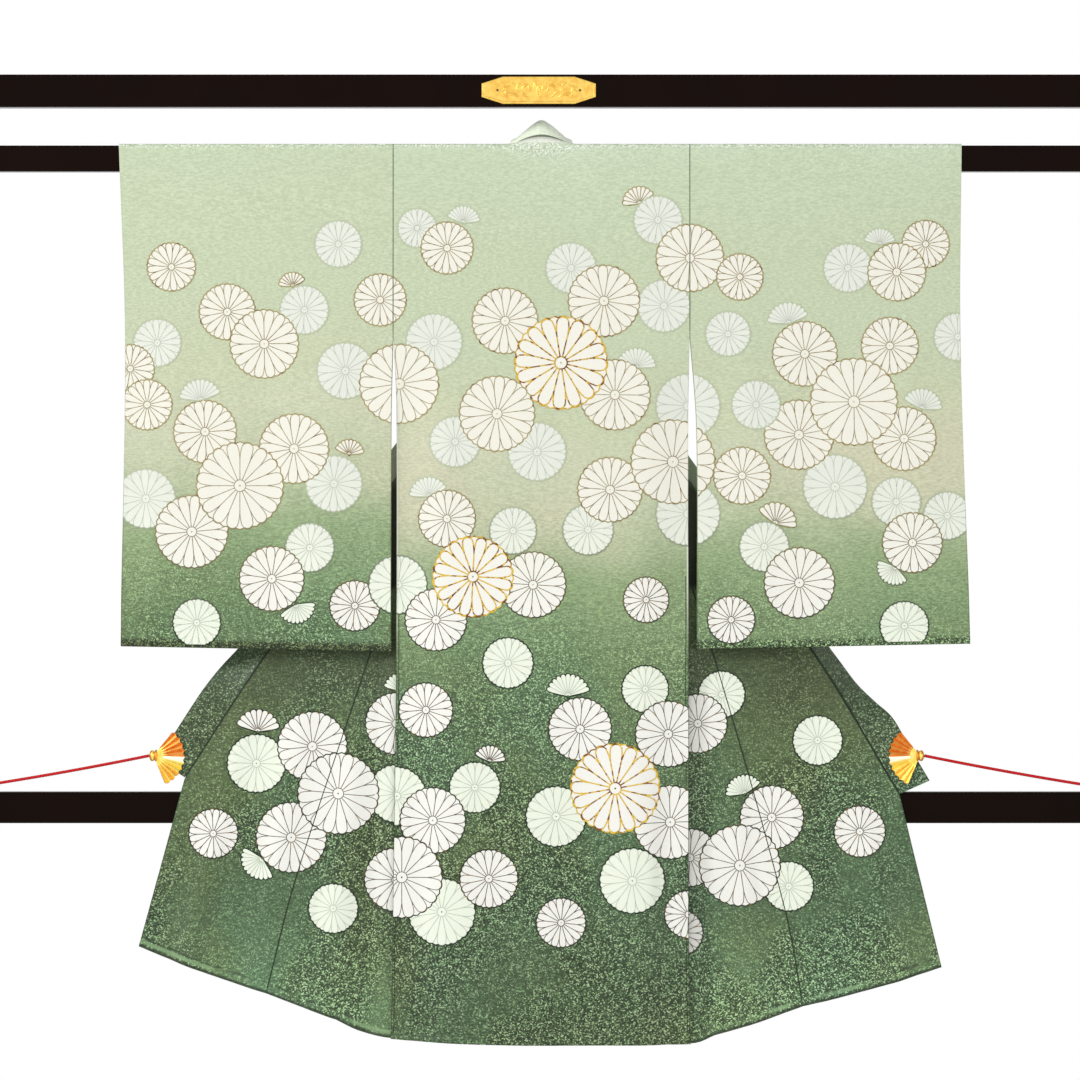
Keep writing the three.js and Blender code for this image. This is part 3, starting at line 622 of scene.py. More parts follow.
def keep_distances(piece, grid):
    """Each point's distance from the cloth's nearest side edge, its first side and its last row."""
    across, down = run_along(grid, 1), run_along(grid, 0)
    distances = {
        "from_edge": np.minimum(across, across[:, -1:] - across),
        "from_seam": across,
        "from_hem": down[-1:] - down,
    }
    for name, value in distances.items():
        both_faces = np.tile(value.ravel() * MM, 2).astype(np.float32)
        piece.data.attributes.new(name, "FLOAT", "POINT").data.foreach_set("value", both_faces)


def cloth(name, grid, materials, half=CLOTH / 2, loop=False, flip=False):
    """A closed thin shell round a grid of points. Its patterned side has the first material, its
    lining side the second. Half is half the thickness, one value or one for each point."""
    rows, columns = grid.shape[:2]
    normal = normals_of(grid, loop) * (-1 if flip else 1)
    offset = normal * np.broadcast_to(half, (rows, columns))[..., None]
    points = np.concatenate([(grid + offset).reshape(-1, 3), (grid - offset).reshape(-1, 3)])
    count = rows * columns
    top = grid_faces(rows, columns, loop_rows=loop)
    under = top[:, ::-1] + count
    first = np.stack([top.reshape(-1, columns - 1, 4)[:, 0, k] for k in (0, 1)], axis=1)
    last = np.stack([top.reshape(-1, columns - 1, 4)[:, -1, k] for k in (3, 2)], axis=1)
    rims = [
        np.stack([first[:, 1], first[:, 0], first[:, 0] + count, first[:, 1] + count], axis=1),
        np.stack([last[:, 0], last[:, 1], last[:, 1] + count, last[:, 0] + count], axis=1),
    ]
    if not loop:
        j = np.arange(columns - 1)
        low = j + (rows - 1) * columns
        rims.append(np.stack([j, j + 1, j + 1 + count, j + count], axis=1))
        rims.append(np.stack([low + 1, low, low + count, low + 1 + count], axis=1))
    faces = np.concatenate([top, under, *rims])
    if flip:
        faces = faces[:, ::-1]
    indices = np.zeros(len(faces), np.int32)
    indices[len(top) : 2 * len(top)] = 1
    piece = mesh_object(name, points, faces, materials, indices, sharp=50)
    keep_distances(piece, grid)
    return piece


def capped(rings, turned=False):
    """Points and faces of a closed tube through rings of points that all have the same count. Its faces
    look out where the rings turn clockwise about their way, and turned is for the others."""
    rings = np.array(rings)
    count = rings.shape[1]
    last = (len(rings) - 1) * count
    faces = grid_faces(len(rings), count, loop_columns=True).tolist()
    faces.append(list(range(count)))
    faces.append([last + k for k in range(count)][::-1])
    if turned:
        faces = [[face[0], *face[:0:-1]] for face in faces]
    return rings.reshape(-1, 3), faces


def joined(parts):
    """Several (points, faces) as one, where the faces' numbers of corners may differ."""
    points, faces, start = [], [], 0
    for part_points, part_faces in parts:
        points.append(part_points)
        faces += [[k + start for k in face] for face in part_faces]
        start += len(part_points)
    return np.concatenate(points), faces


def tube(route, section):
    """Points and faces of a tube along a route. Section gives the ring's offsets at each step as
    (across, up) pairs."""
    route = np.asarray(route, float)
    tangent = np.gradient(route, axis=0)
    tangent /= np.linalg.norm(tangent, axis=1, keepdims=True)
    normal = np.cross(tangent[0], (0, 0, 1.0))
    if np.linalg.norm(normal) < 0.1:
        normal = np.cross(tangent[0], (1.0, 0, 0))
    rings = []
    for step, (point, way) in enumerate(zip(route, tangent)):
        normal = normal - way * normal.dot(way)
        normal /= np.linalg.norm(normal)
        other = np.cross(way, normal)
        offsets = section(step)
        rings.append(point + offsets[:, :1] * normal + offsets[:, 1:] * other)
    return capped(rings, turned=True)


def full_turn(count):
    return np.linspace(0, 2 * math.pi, count, endpoint=False)


def twisted_section(radius, pitch, step_length, sides):
    """The section of a twisted cord: a lobe for each strand, which turn along it."""
    angles = full_turn(sides)

    def section(step):
        turn = 2 * math.pi * step * step_length / pitch
        lobes = np.abs(np.cos(CORD_STRANDS * (angles - turn) / 2)) ** 0.7
        return polar(radius * (0.8 + 0.2 * lobes), angles)

    return section


def lengths_along(route):
    return np.concatenate([[0], np.cumsum(np.linalg.norm(np.diff(route, axis=0), axis=1))])


def resampled(route, step_length):
    route = np.asarray(route, float)
    lengths = lengths_along(route)
    steps = max(2, round(lengths[-1] / step_length))
    at = np.linspace(0, lengths[-1], steps + 1)
    return np.stack([np.interp(at, lengths, route[:, k]) for k in range(3)], axis=1)


# Materials. Colours are written as the photograph's 8-bit values, less the light's own share.
LIGHT = 1.5
PRINT_LIGHT = 1.4
METAL_LIGHT = 1.0


def colour(red, green, blue, light=LIGHT):
    linear = []
    for value in (red, green, blue):
        c = value / 255
        c = c / 12.92 if c <= 0.04045 else ((c + 0.055) / 1.055) ** 2.4
        linear.append(c / light)
    return (*linear, 1)


class Graph:
    """A material's node tree, with one line for each node."""

    def __init__(self, name, rough=0.5, metallic=0.0, specular=0.5):
        self.material = bpy.data.materials.new(name)
        self.material.use_nodes = True
        self.tree = self.material.node_tree
        self.shader = self.tree.nodes["Principled BSDF"]
        self.shader.inputs["Roughness"].default_value = rough
        self.shader.inputs["Metallic"].default_value = metallic
        self.shader.inputs["Specular IOR Level"].default_value = specular
        self.place = self.tree.nodes.new("ShaderNodeTexCoord").outputs["Object"]

    def plug(self, socket, value):
        if isinstance(value, bpy.types.NodeSocket):
            self.tree.links.new(value, socket)
        else:
            socket.default_value = value

    def node(self, kind, inputs=None, **settings):
        made = self.tree.nodes.new(kind)
        for key, value in settings.items():
            setattr(made, key, value)
        for key, value in (inputs or {}).items():
            self.plug(made.inputs[key], value)
        return made

    def maths(self, operation, a, b=0.0):
        return self.node("ShaderNodeMath", {0: a, 1: b}, operation=operation).outputs[0]

    def plus(self, a, b):
        return self.maths("ADD", a, b)

    def minus(self, a, b):
        return self.maths("SUBTRACT", a, b)

    def product(self, a, b):
        return self.maths("MULTIPLY", a, b)

    def apart(self, a, b):
        return self.maths("ABSOLUTE", self.minus(a, b))

    def step(self, value, start, end, low=0.0, high=1.0):
        inputs = {"Value": value, "From Min": start, "From Max": end, "To Min": low, "To Max": high}
        return self.node("ShaderNodeMapRange", inputs, interpolation_type="SMOOTHSTEP").outputs[0]

    def window(self, value, start, full, fade, end):
        """1 where the value lies between full and fade, 0 outside start and end."""
        return self.product(self.step(value, start, full), self.step(value, end, fade))

    def mixed(self, factor, a, b, blend="MIX"):
        made = self.node("ShaderNodeMix", data_type="RGBA", blend_type=blend)
        self.plug(made.inputs[0], factor)
        self.plug(made.inputs[6], a)
        self.plug(made.inputs[7], b)
        return made.outputs[2]

    def scale(self, shade, strength):
        return self.node("ShaderNodeVectorMath", {0: shade, "Scale": strength}, operation="SCALE").outputs[0]

    def attribute(self, name):
        """A distance in metres that the mesh keeps with its points."""
        return self.node("ShaderNodeAttribute", attribute_name=name).outputs["Fac"]

    def noise(self, scale, detail=2.0, stretch=(1, 1, 1)):
        inputs = {0: self.place, 1: stretch}
        place = self.node("ShaderNodeVectorMath", inputs, operation="MULTIPLY").outputs[0]
        inputs = {"Vector": place, "Scale": scale, "Detail": detail, "Roughness": 0.5}
        return self.node("ShaderNodeTexNoise", inputs).outputs["Fac"]

    def ramp(self, value, stops):
        """Colours by level, from rows of a level, an 8-bit colour and, where it has its own, the light."""
        made = self.node("ShaderNodeValToRGB", {"Fac": value})
        points = made.color_ramp.elements
        while len(points) < len(stops):
            points.new(0.5)
        for point, (at, *shade) in zip(points, stops):
            point.position = at
            point.color = colour(*shade)
        return made.outputs["Color"]

    def axis(self, name):
        return self.node("ShaderNodeSeparateXYZ", {0: self.place}).outputs[name]

    def drop_value(self):
        """Metres below the shoulder."""
        return self.minus(SHOULDER * MM, self.axis("Z"))

    def bump(self, height, distance, strength):
        inputs = {"Height": height, "Distance": distance, "Strength": strength}
        made = self.node("ShaderNodeBump", inputs)
        self.tree.links.new(made.outputs["Normal"], self.shader.inputs["Normal"])

    def paint(self, value):
        self.plug(self.shader.inputs["Base Color"], value)
        return self.material


# Colours of the dyed ground by level, which is metres below the shoulder in the cloth. The fronts' and the
# collar's stops also hold painted shade and painted light, as noted.
PALE_STOPS = (
    (0.0, 208, 221, 192), (0.04, 203, 217, 185), (0.12, 203, 214, 182), (0.24, 203, 214, 182),
    (0.32, 204, 213, 179), (0.37, 208, 213, 183), (0.41, 200, 208, 176), (0.45, 184, 197, 160),
    (0.48, 163, 181, 139),
)
BODY_STOPS = (
    *PALE_STOPS,
    (0.51, 148, 170, 125), (0.55, 134, 158, 114), (0.6, 117, 142, 100), (0.66, 105, 129, 90),
    (0.75, 97, 120, 82), (0.9, 92, 113, 77), (1.0, 90, 111, 75),
)
# The fronts' ground darkens to 0.585 and lightens below it: painted shade under the sleeves' feet, over the
# dyed green.
WING_STOPS = (
    *PALE_STOPS,
    (0.53, 110, 130, 88), (0.585, 74, 86, 54), (0.63, 84, 98, 66), (0.68, 92, 112, 75),
    (0.74, 94, 116, 78), (0.87, 92, 114, 78), (1.0, 112, 141, 101),
)
# The first stop has its own smaller light share, which paints light onto the standing collar at the neck.
COLLAR_STOPS = (
    (0.0, 240, 250, 226, 1.15), (0.05, 206, 219, 196), (0.12, 190, 205, 178), (0.35, 150, 170, 130),
    (0.52, 84, 101, 72), (0.62, 80, 99, 70), (0.74, 92, 113, 80), (1.0, 96, 118, 84),
)
# Levels between which the pale part is beige, the deep part gets its hue drifts and its flecks, and the
# crepe's grain grows stronger, and the drops between which print changes with the ground
BEIGE_LEVELS = (0.28, 0.37, 0.42, 0.5)
HUE_LEVELS = (0.44, 0.74)
FLECK_LEVELS = (0.46, 0.74)
GRAIN_LEVELS = (0.36, 0.6)
PRINT_DROPS = (0.36, 0.58)
LEVEL_WAVER = 0.13
FLECK_SCALE = 820.0
DENSE_FLECKS = 3.6
FOOT_FLECKS = 4.2
USUAL_SPARK = 0.2


class Silk(Graph):
    """Crepe silk, pale at the shoulders and deep green below, with pale flecks in cloudy patches. Shift
    moves the dyed levels up, and flecks is their strength in the smoothest patches."""

    def __init__(self, name, stops, shift=0.0, flecks=1.9):
        super().__init__(name, rough=0.55, specular=0.25)
        self.shader.inputs["Sheen Weight"].default_value = 0.1
        self.shader.inputs["Sheen Roughness"].default_value = 0.4
        across = self.axis("X")
        self.out = self.maths("ABSOLUTE", across)
        self.drop = self.drop_value()
        self.edge = self.attribute("from_edge")
        waver = self.product(self.minus(self.noise(5.5), 0.5), LEVEL_WAVER)
        self.level = self.plus(self.plus(self.drop, waver), shift)
        self.chance = self.cell_chance(across)
        self.spark = self.maths("POWER", self.chance, 4.0)
        self.ground = self.dyed(stops)
        self.painted = self.flecked(flecks)

    def cell_chance(self, across):
        """A number from 0 to 1 for each cell of a pattern as fine as the crepe."""
        flat = self.node("ShaderNodeCombineXYZ", {"X": across, "Y": self.axis("Z")}).outputs[0]
        inputs = {"Vector": flat, "Scale": FLECK_SCALE, "Randomness": 1.0}
        cells = self.node("ShaderNodeTexVoronoi", inputs, voronoi_dimensions="2D")
        return self.node("ShaderNodeSeparateColor", {0: cells.outputs["Color"]}).outputs[0]

    def dyed(self, stops):
        """The ground, with beige clouds in its pale part and olive and bluish drifts in its deep part."""
        cloud = self.step(self.noise(3.1, 1.0, stretch=(1, 1, 1.6)), 0.42, 0.62, 0.0, 0.5)
        beige = self.product(self.window(self.level, *BEIGE_LEVELS), cloud)
        ground = self.mixed(beige, self.ramp(self.level, stops), colour(216, 209, 180))
        hue = self.step(self.noise(6.3, stretch=(1, 1, 0.7)), 0.38, 0.64)
        tint = self.mixed(hue, (1.05, 0.99, 0.88, 1), (0.9, 1.04, 1.12, 1))
        tinted = self.mixed(1.0, ground, tint, blend="MULTIPLY")
        return self.mixed(self.step(self.level, *HUE_LEVELS, 0.0, 0.75), ground, tinted)

    def sparkling(self, gain):
        """A strength that is high in a few cells and a little under 1 in the others."""
        return self.plus(self.product(gain, self.minus(self.spark, USUAL_SPARK)), 1.0)

    def flecked(self, flecks):
        """The ground with its grain and flecks, soft in smooth patches, dark and bright in dense ones."""
        patch = self.step(self.noise(7.5, 2.5, stretch=(1, 1, 0.8)), 0.42, 0.6)
        zone = self.step(self.level, *FLECK_LEVELS, 0.04, 1.0)
        gain = self.product(zone, self.step(patch, 0.0, 1.0, flecks, DENSE_FLECKS))
        crepe = self.noise(430.0, 1.5, stretch=(0.45, 0.45, 1.4))
        self.bump(crepe, 0.0002, 0.5)
        grain_gain = self.step(self.level, *GRAIN_LEVELS, 0.085, 0.24)
        grain = self.plus(self.product(grain_gain, self.step(crepe, 0.3, 0.7, -1.0, 1.0)), 1.0)
        painted = self.scale(self.ground, self.product(self.sparkling(gain), grain))
        paleness = self.product(gain, self.step(self.spark, 0.4, 1.0, 0.0, 0.12))
        return self.mixed(paleness, painted, colour(218, 224, 196))

    def cover(self, mask, shade, share=1.0):
        self.painted = self.mixed(self.product(mask, share), self.painted, shade)

    def finish(self, *details):
        for detail in details:
            detail(self)
        return self.paint(self.painted)


def shoulder_specks_and_highlight(g):
    """White and dark specks along the shoulder, deeper below the neck, and a painted highlight strip on the
    back's crest just below the neck.
    """
    bell = g.maths("POWER", 0.5, g.maths("POWER", g.product(g.out, 34.0), 2.0))
    reach = g.plus(g.product(bell, 0.016), 0.007)
    zone = g.step(g.drop, reach, g.product(reach, 0.3))
    g.cover(g.product(zone, g.step(g.chance, 0.7, 0.8)), colour(250, 253, 244), 0.85)
    g.cover(g.product(zone, g.step(g.chance, 0.24, 0.16)), colour(140, 160, 128), 0.4)
    # painted highlight: a light strip on the back's crest just below the neck
    g.cover(g.product(g.step(g.out, 0.036, 0.03), g.step(g.drop, 0.001, -0.003)), colour(246, 249, 238), 0.7)


def dark_edges(g):
    rim = g.step(g.edge, 0.0019, 0.0006)
    g.cover(g.product(rim, g.step(g.level, *GRAIN_LEVELS, 0.06, 0.6)), g.scale(g.ground, 0.3))


def armhole_seam_and_shade(g):
    # A dark line along the armhole seams: the stitching, with the groove's painted shade.
    at_seam = g.step(g.apart(g.out, BODY_HALF * MM), 0.0009, 0.0004)
    g.cover(g.product(at_seam, g.step(g.drop, 0.23, 0.21)), colour(104, 118, 88), 0.75)


def slit_edge_highlights(g):
    """The painted highlights along the back's edges beside the slits."""
    light = g.product(g.step(g.edge, 0.0021, 0.0012), g.window(g.drop, 0.27, 0.3, 0.48, 0.6))
    g.cover(light, colour(244, 246, 232), 0.75)


def slit_shadow(g):
    """The fronts' dark strip behind the slits."""
    at_slit = g.step(g.apart(g.out, (BODY_HALF + 2) * MM), 0.012, 0.008)
    g.cover(g.product(at_slit, g.window(g.drop, 0.36, 0.4, 0.505, 0.52)), colour(28, 28, 16), 0.9)


def hem_highlight_and_shade(g):
    """A painted shade along the hem's lower edge, a painted highlight streak on the padded roll above it, and
    uneven dark dashes above that.
    """
    above = g.attribute("from_hem")
    # painted highlight on the padded hem's roll
    uneven = g.step(g.noise(13.0, stretch=(1, 1, 0.2)), 0.44, 0.58, 0.1, 0.75)
    roll_highlight = g.product(g.window(above, 0.0045, 0.006, 0.008, 0.0105), uneven)
    g.cover(roll_highlight, g.mixed(0.45, g.scale(g.ground, 1.5), colour(160, 196, 146)))
    broken = g.step(g.noise(75.0, 1.5, stretch=(1, 1, 0.5)), 0.5, 0.6, 0.0, 0.75)
    g.cover(g.product(g.window(above, 0.0095, 0.0108, 0.0124, 0.014), broken), g.scale(g.ground, 0.3))
    # painted shade along the lower edge, where the roll turns under
    g.cover(g.step(above, 0.0046, 0.0026), g.scale(g.ground, 0.2), 0.85)


def neck_shadow_and_edge(g):
    """The dark line at the neck's seam, a painted shadow between the collar and the back, and the gold-brown
    edge of the standing collar.
    """
    near = g.step(g.out, 0.042, 0.036)
    from_seam = g.attribute("from_seam")
    free = g.product(g.step(g.edge, 0.0022, 0.001), g.step(from_seam, 0.01, 0.02))
    free = g.product(free, g.step(g.out, 0.008, 0.02))
    g.cover(g.product(near, free), colour(150, 136, 70), 0.8)
    # painted shadow where the collar meets the back at the neck
    g.cover(g.product(near, g.step(from_seam, 0.0038, 0.0026)), colour(70, 80, 50), 0.85)


def foot_shade_band(side, shade):
    """A sparkling olive band of painted shade along a sleeve's lower edge, where its foot rounds under, which
    runs straight from the inner to the outer end.
    """
    inner, outer = side["sleeve_hem"]
    start = side["sleeve_inner"]["out"][-1]
    slope = (outer - inner) / (side["sleeve_outer"]["out"][-1] - start)

    def detail(g):
        line = g.plus(g.product(g.out, slope), (inner - slope * start) * MM)
        painted_foot_shade = g.step(g.minus(line, g.drop), 0.0115, 0.0045)
        g.cover(painted_foot_shade, g.scale(colour(*shade)[:3], g.sparkling(FOOT_FLECKS)), 0.9)

    return detail


def sleeve_silk(side, shift, shade):
    g = Silk("silk_sleeve_" + side["name"], BODY_STOPS, shift)
    return g.finish(shoulder_specks_and_highlight, dark_edges, armhole_seam_and_shade, foot_shade_band(side, shade))


def lining_silk():
    g = Graph("lining_silk", rough=0.45, specular=0.3)
    weave = g.noise(900.0, 1.0, stretch=(0.4, 0.4, 1))
    g.bump(weave, 0.0001, 0.4)
    return g.paint(g.scale(g.ramp(g.drop_value(), BODY_STOPS), g.step(weave, 0.3, 0.7, 0.95, 1.04)))


def by_height(name, upper, lower, light=LIGHT, worn=None, worn_from=0.6, rough=0.5):
    """A print colour that changes from the pale ground to the deep one, with worn spots of a third."""
    g = Graph(name, rough=rough, specular=0.25)
    shade = g.mixed(g.step(g.drop_value(), *PRINT_DROPS), colour(*upper, light), colour(*lower, light))
    if worn:
        spots = g.step(g.noise(160.0), worn_from - 0.12, worn_from)
        shade = g.mixed(spots, shade, colour(*worn))
    g.bump(g.noise(250.0, stretch=(0.36, 0.36, 1.5)), 0.0002, 0.3)
    return g.paint(shade)


def plain(name, shade, light, rough):
    return Graph(name, rough=rough, specular=0.25).paint(colour(*shade, light))


def lacquer():
    g = Graph("lacquer", rough=0.2, specular=0.045)
    g.bump(g.noise(60.0), 0.0001, 0.15)
    # Painted light: the same lacquer is a little lighter higher up the rack.
    lit_by_height = g.mixed(g.step(g.axis("Z"), 0.9, 1.39), colour(22, 10, 5), colour(24, 11, 7))
    cloud = g.step(g.noise(14.0, 3.0), 0.3, 0.7, 0.0, 0.5)
    return g.paint(g.mixed(cloud, lit_by_height, colour(14, 7, 4)))


def gilt(name, tint, dark, rough=0.4):
    g = Graph(name, rough=rough, metallic=1.0)
    worn = g.noise(180.0, 3.0)
    g.bump(worn, 0.0002, 0.3)
    return g.paint(g.mixed(g.step(worn, 0.35, 0.7), colour(*tint, METAL_LIGHT), colour(*dark, METAL_LIGHT)))


def cord_silk():
    g = Graph("cord_silk", rough=0.6, specular=0.15)
    fibre = g.noise(1500.0)
    g.bump(fibre, 0.0002, 0.5)
    return g.paint(g.mixed(g.step(fibre, 0.3, 0.7), colour(222, 34, 38), colour(184, 14, 20)))


def floor_plaster():
    g = Graph("floor", rough=0.9, specular=0.1)
    return g.paint(g.mixed(g.noise(3.0), (0.86, 0.86, 0.85, 1), (0.9, 0.9, 0.89, 1)))


SILK = Silk("silk_crepe", BODY_STOPS).finish(shoulder_specks_and_highlight, dark_edges, armhole_seam_and_shade, slit_edge_highlights)
# The last value of each sleeve is the colour of its foot band's painted shade.
SLEEVE_SILK = {
    "left": sleeve_silk(LEFT, 0.064, (70, 80, 50)),
    "right": sleeve_silk(RIGHT, 0.012, (104, 126, 88)),
}
WING_SILK = Silk("silk_front", WING_STOPS, flecks=1.3).finish(
    shoulder_specks_and_highlight, dark_edges, hem_highlight_and_shade, slit_shadow
)
COLLAR_SILK = Silk("silk_collar", COLLAR_STOPS, flecks=3.2).finish(dark_edges, neck_shadow_and_edge)
LINING = lining_silk()
# The print's materials by the names that the motifs' pieces give
FILLS = {
    "cream": by_height("motif_cream", (240, 238, 224), (244, 244, 236), PRINT_LIGHT),
    "white": by_height("motif_white", (230, 234, 222), (240, 246, 228), PRINT_LIGHT),
    "pale_gold": by_height("motif_pale_gold", (242, 240, 228), (244, 243, 236), PRINT_LIGHT),
}
LINES = {
    "line": by_height("motif_line", (172, 160, 126), (94, 86, 72), worn=(140, 112, 72), worn_from=0.64),
    "faint": by_height("motif_faint_line", (206, 210, 196), (196, 206, 188)),
    "rim": by_height("motif_rim", (176, 162, 108), (28, 42, 22), worn=(122, 96, 52), worn_from=0.68),
    "soft_rim": by_height("motif_soft_rim", (196, 206, 174), (26, 46, 22)),
    "gold": by_height("motif_gold_line", (228, 190, 70), (236, 198, 62), worn=(136, 82, 26), rough=0.4),
}
# The dark lines of the seams and the back's pressed edges. In the seams they are stitching, with the grooves'
# painted shade.
SEAM_LINE = by_height("seam_line", (96, 112, 78), (26, 42, 20), rough=0.6)
LACQUER = lacquer()
PLATE_GOLD = gilt("plate_gold", (252, 214, 110), (240, 190, 90), 0.38)
ENGRAVED = gilt("engraved_gold", (246, 204, 104), (230, 178, 82), 0.45)
# Brown discs over the nail holes: painted shade of the holes.
NAIL_HOLE_SHADE = plain("nail_hole", (120, 84, 40), LIGHT, 0.7)
FAN_GOLD = gilt("fan_gold", (255, 232, 126), (255, 214, 96))
# The fan's materials, its gilt and the painted reflections and painted highlight of its pleats, in the order
# of the numbers that its faces are given
FAN_GILT_AND_REFLECTIONS = [
    FAN_GOLD,
    gilt("fan_orange", (248, 184, 96), (238, 164, 74), 0.42),
    gilt("fan_brown", (230, 148, 70), (214, 126, 50), 0.42),
    plain("fan_white", (255, 250, 226), 1.1, 0.4),
    gilt("fan_amber", (248, 196, 92), (236, 170, 70)),
]
KNOB_GOLD = gilt("knob_gold", (230, 160, 80), (212, 136, 56))
CORD = cord_silk()


# Camera, at the photograph's angle: level, straight behind the garment, framing its own pixels
PHOTO_SCALE = 1.148
FRAME_PIXELS = 1080
MIDDLE_COLUMN = 541.5
SHOULDER_ROW = 143
CAMERA_BACK = 6000
FOCUS_PLANE = -20
SENSOR_WIDTH = 36


def make_camera():
    data = bpy.data.cameras.new("camera")
    camera = bpy.data.objects.new("camera", data)
    bpy.context.scene.collection.objects.link(camera)
    x = (FRAME_PIXELS / 2 - MIDDLE_COLUMN) * PHOTO_SCALE
    z = SHOULDER - (FRAME_PIXELS / 2 - SHOULDER_ROW) * PHOTO_SCALE
    camera.location = Vector((x, -CAMERA_BACK, z)) * MM
    camera.rotation_euler = (math.pi / 2, 0, 0)
    data.sensor_width = SENSOR_WIDTH
    data.lens = SENSOR_WIDTH * (CAMERA_BACK + FOCUS_PLANE) / (FRAME_PIXELS * PHOTO_SCALE)
    data.clip_start, data.clip_end = 0.1, 60
    bpy.context.scene.camera = camera


def rounded_rectangle(half_y, half_z, corner):
    """A closed outline, from the end of its right side round through its top."""
    bends = []
    for side_y, side_z, start in ((1, 1, 0), (-1, 1, 90), (-1, -1, 180), (1, -1, 270)):
        bend = polar(corner, np.radians(np.linspace(start, start + 90, 5)))
        bends.append(bend + (side_y * (half_y - corner), side_z * (half_z - corner)))
    return np.concatenate([*bends, bends[0][:1]])


def winding(middle, spread, radius, turns=3, points_a_turn=48):
    """Turns of cord round the lower rail, side by side."""
    clear = SEAM + radius
    outline = rounded_rectangle(RAIL_DEPTH / 2 + clear, LOWER_RAIL_HEIGHT / 2 + clear, RAIL_CORNER + clear)
    lengths = lengths_along(outline)
    shares = np.linspace(0, turns, turns * points_a_turn + 1)
    at = (shares % 1) * lengths[-1]
    y, z = (np.interp(at, lengths, outline[:, k]) for k in (0, 1))
    rail_middle = SHOULDER - LOWER_RAIL_TOP - LOWER_RAIL_HEIGHT / 2
    return np.stack([middle + mix(-spread, spread, shares / turns), y, rail_middle + z], axis=1)


def knot_loop(middle):
    """A closed loop of cord that crosses itself, as a simple knot does."""
    angles = np.linspace(0, 2 * math.pi, 60)
    offsets = (3.4 * np.sin(angles), 1.9 * np.sin(3 * angles) - 1, 3.6 * np.sin(2 * angles))
    return middle + np.stack(offsets, axis=1)


def make_tie(side):
    """Three turns of cord round the rail, and the knot that holds the taut end."""
    sign = side["sign"]
    step = 1.2
    radius = CORD_DIAMETER / 2
    middle = sign * (POST_AT - POST_SIZE / 2 - SEAM - TIE_WIDTH / 2)
    turns = resampled(winding(middle, sign * (TIE_WIDTH / 2 - radius), radius), step)
    knot_middle = (middle - sign * 2, -RAIL_DEPTH / 2 - SEAM - 3 * radius, SHOULDER - side["tie_drop"])
    knot = resampled(knot_loop(knot_middle), step)
    parts = [
        tube(turns, twisted_section(radius * 0.97, CORD_PITCH, step, 14)),
        tube(knot, twisted_section(radius * 0.9, KNOT_PITCH, step, 12)),
    ]
    tie = mesh_object("tie_winding_" + side["name"], *joined(parts), [CORD])
    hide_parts("tie_" + side["name"])
    return tie


def make_cord(side):
    route = cord_route(side)
    step = 1.0
    points, faces = tube(resampled(route, step), twisted_section(CORD_DIAMETER / 2, CORD_PITCH, step, 18))
    cord = mesh_object("cord_" + side["name"] + "_twist", points, faces, [CORD])
    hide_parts("cord_" + side["name"])
    make_tie(side)


make_camera()
for one_side in SIDES:
    make_cord(one_side)


# Cloth pieces
def crest_rows():
    """Drops of the rows that turn over the rail."""
    bend = [FLAT_TOP + BEND_LENGTH * share for share in (0, 0.25, 0.5, 0.75, 1)]
    return [path - PATH_OVER_DROP for path in (SHOWN_GAP, FLAT_TOP / 2, *bend)]


# The padded hem: distance above the hem's edge, and half the cloth's thickness there
HEM_ROLL = ((9.0, 0.8), (6.5, 0.85), (5.0, 1.3), (3.6, 1.7), (2.2, 1.75), (1.1, 1.4), (0.35, 0.8), (0.0, 0.3))
HEM_CUTS = [HEM - above for above, _ in HEM_ROLL]


def panel(kind, node, rows, patterned, flip=False):
    """One sewn piece from rows of points, the last of which are the padded hem's."""
    grid = np.array(rows)
    half = np.full(grid.shape[:2], CLOTH / 2)
    half[-len(HEM_ROLL) :] = [[thick] for _, thick in HEM_ROLL]
    piece = cloth(kind, grid, [patterned, LINING], half=half, flip=flip)
    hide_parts(node)
    return piece


def back_across(shares, drop):
    return shares * (by_side(shares, *(edge_out(side["body_edge"], drop) for side in SIDES)) - SEAM / 2)


def make_back():
    shares = np.linspace(-1, 1, 121)
    rows = []
    for drop in [*crest_rows(), *np.linspace(6, HEM - 16, 214)]:
        x = back_across(shares, drop)
        rows.append(back_point(x, drop + (hem_drop(x) - HEM) * near_hem(drop), 0))
    x = back_across(shares, HEM)
    rows += [back_point(x, hem_drop(x) - above, 0) for above, _ in HEM_ROLL]
    return panel("back_cloth", "back_panel", rows, SILK)


def make_front(side):
    cuts = [*crest_rows(), *np.linspace(6, HEM - 12, 190), *HEM_CUTS]
    rows = [front_row(side, cut) for cut in cuts]
    name = side["name"]
    return panel("front_cloth_" + name, "front_" + name, rows, WING_SILK, flip=side["sign"] < 0)


def make_okumi(side):
    cuts = [*np.linspace(OKUMI_TOP, HEM - 12, 140), *HEM_CUTS]
    rows = [okumi_row(side, cut) for cut in cuts]
    name = side["name"]
    return panel("okumi_cloth_" + name, "okumi_" + name, rows, WING_SILK, flip=side["sign"] < 0)


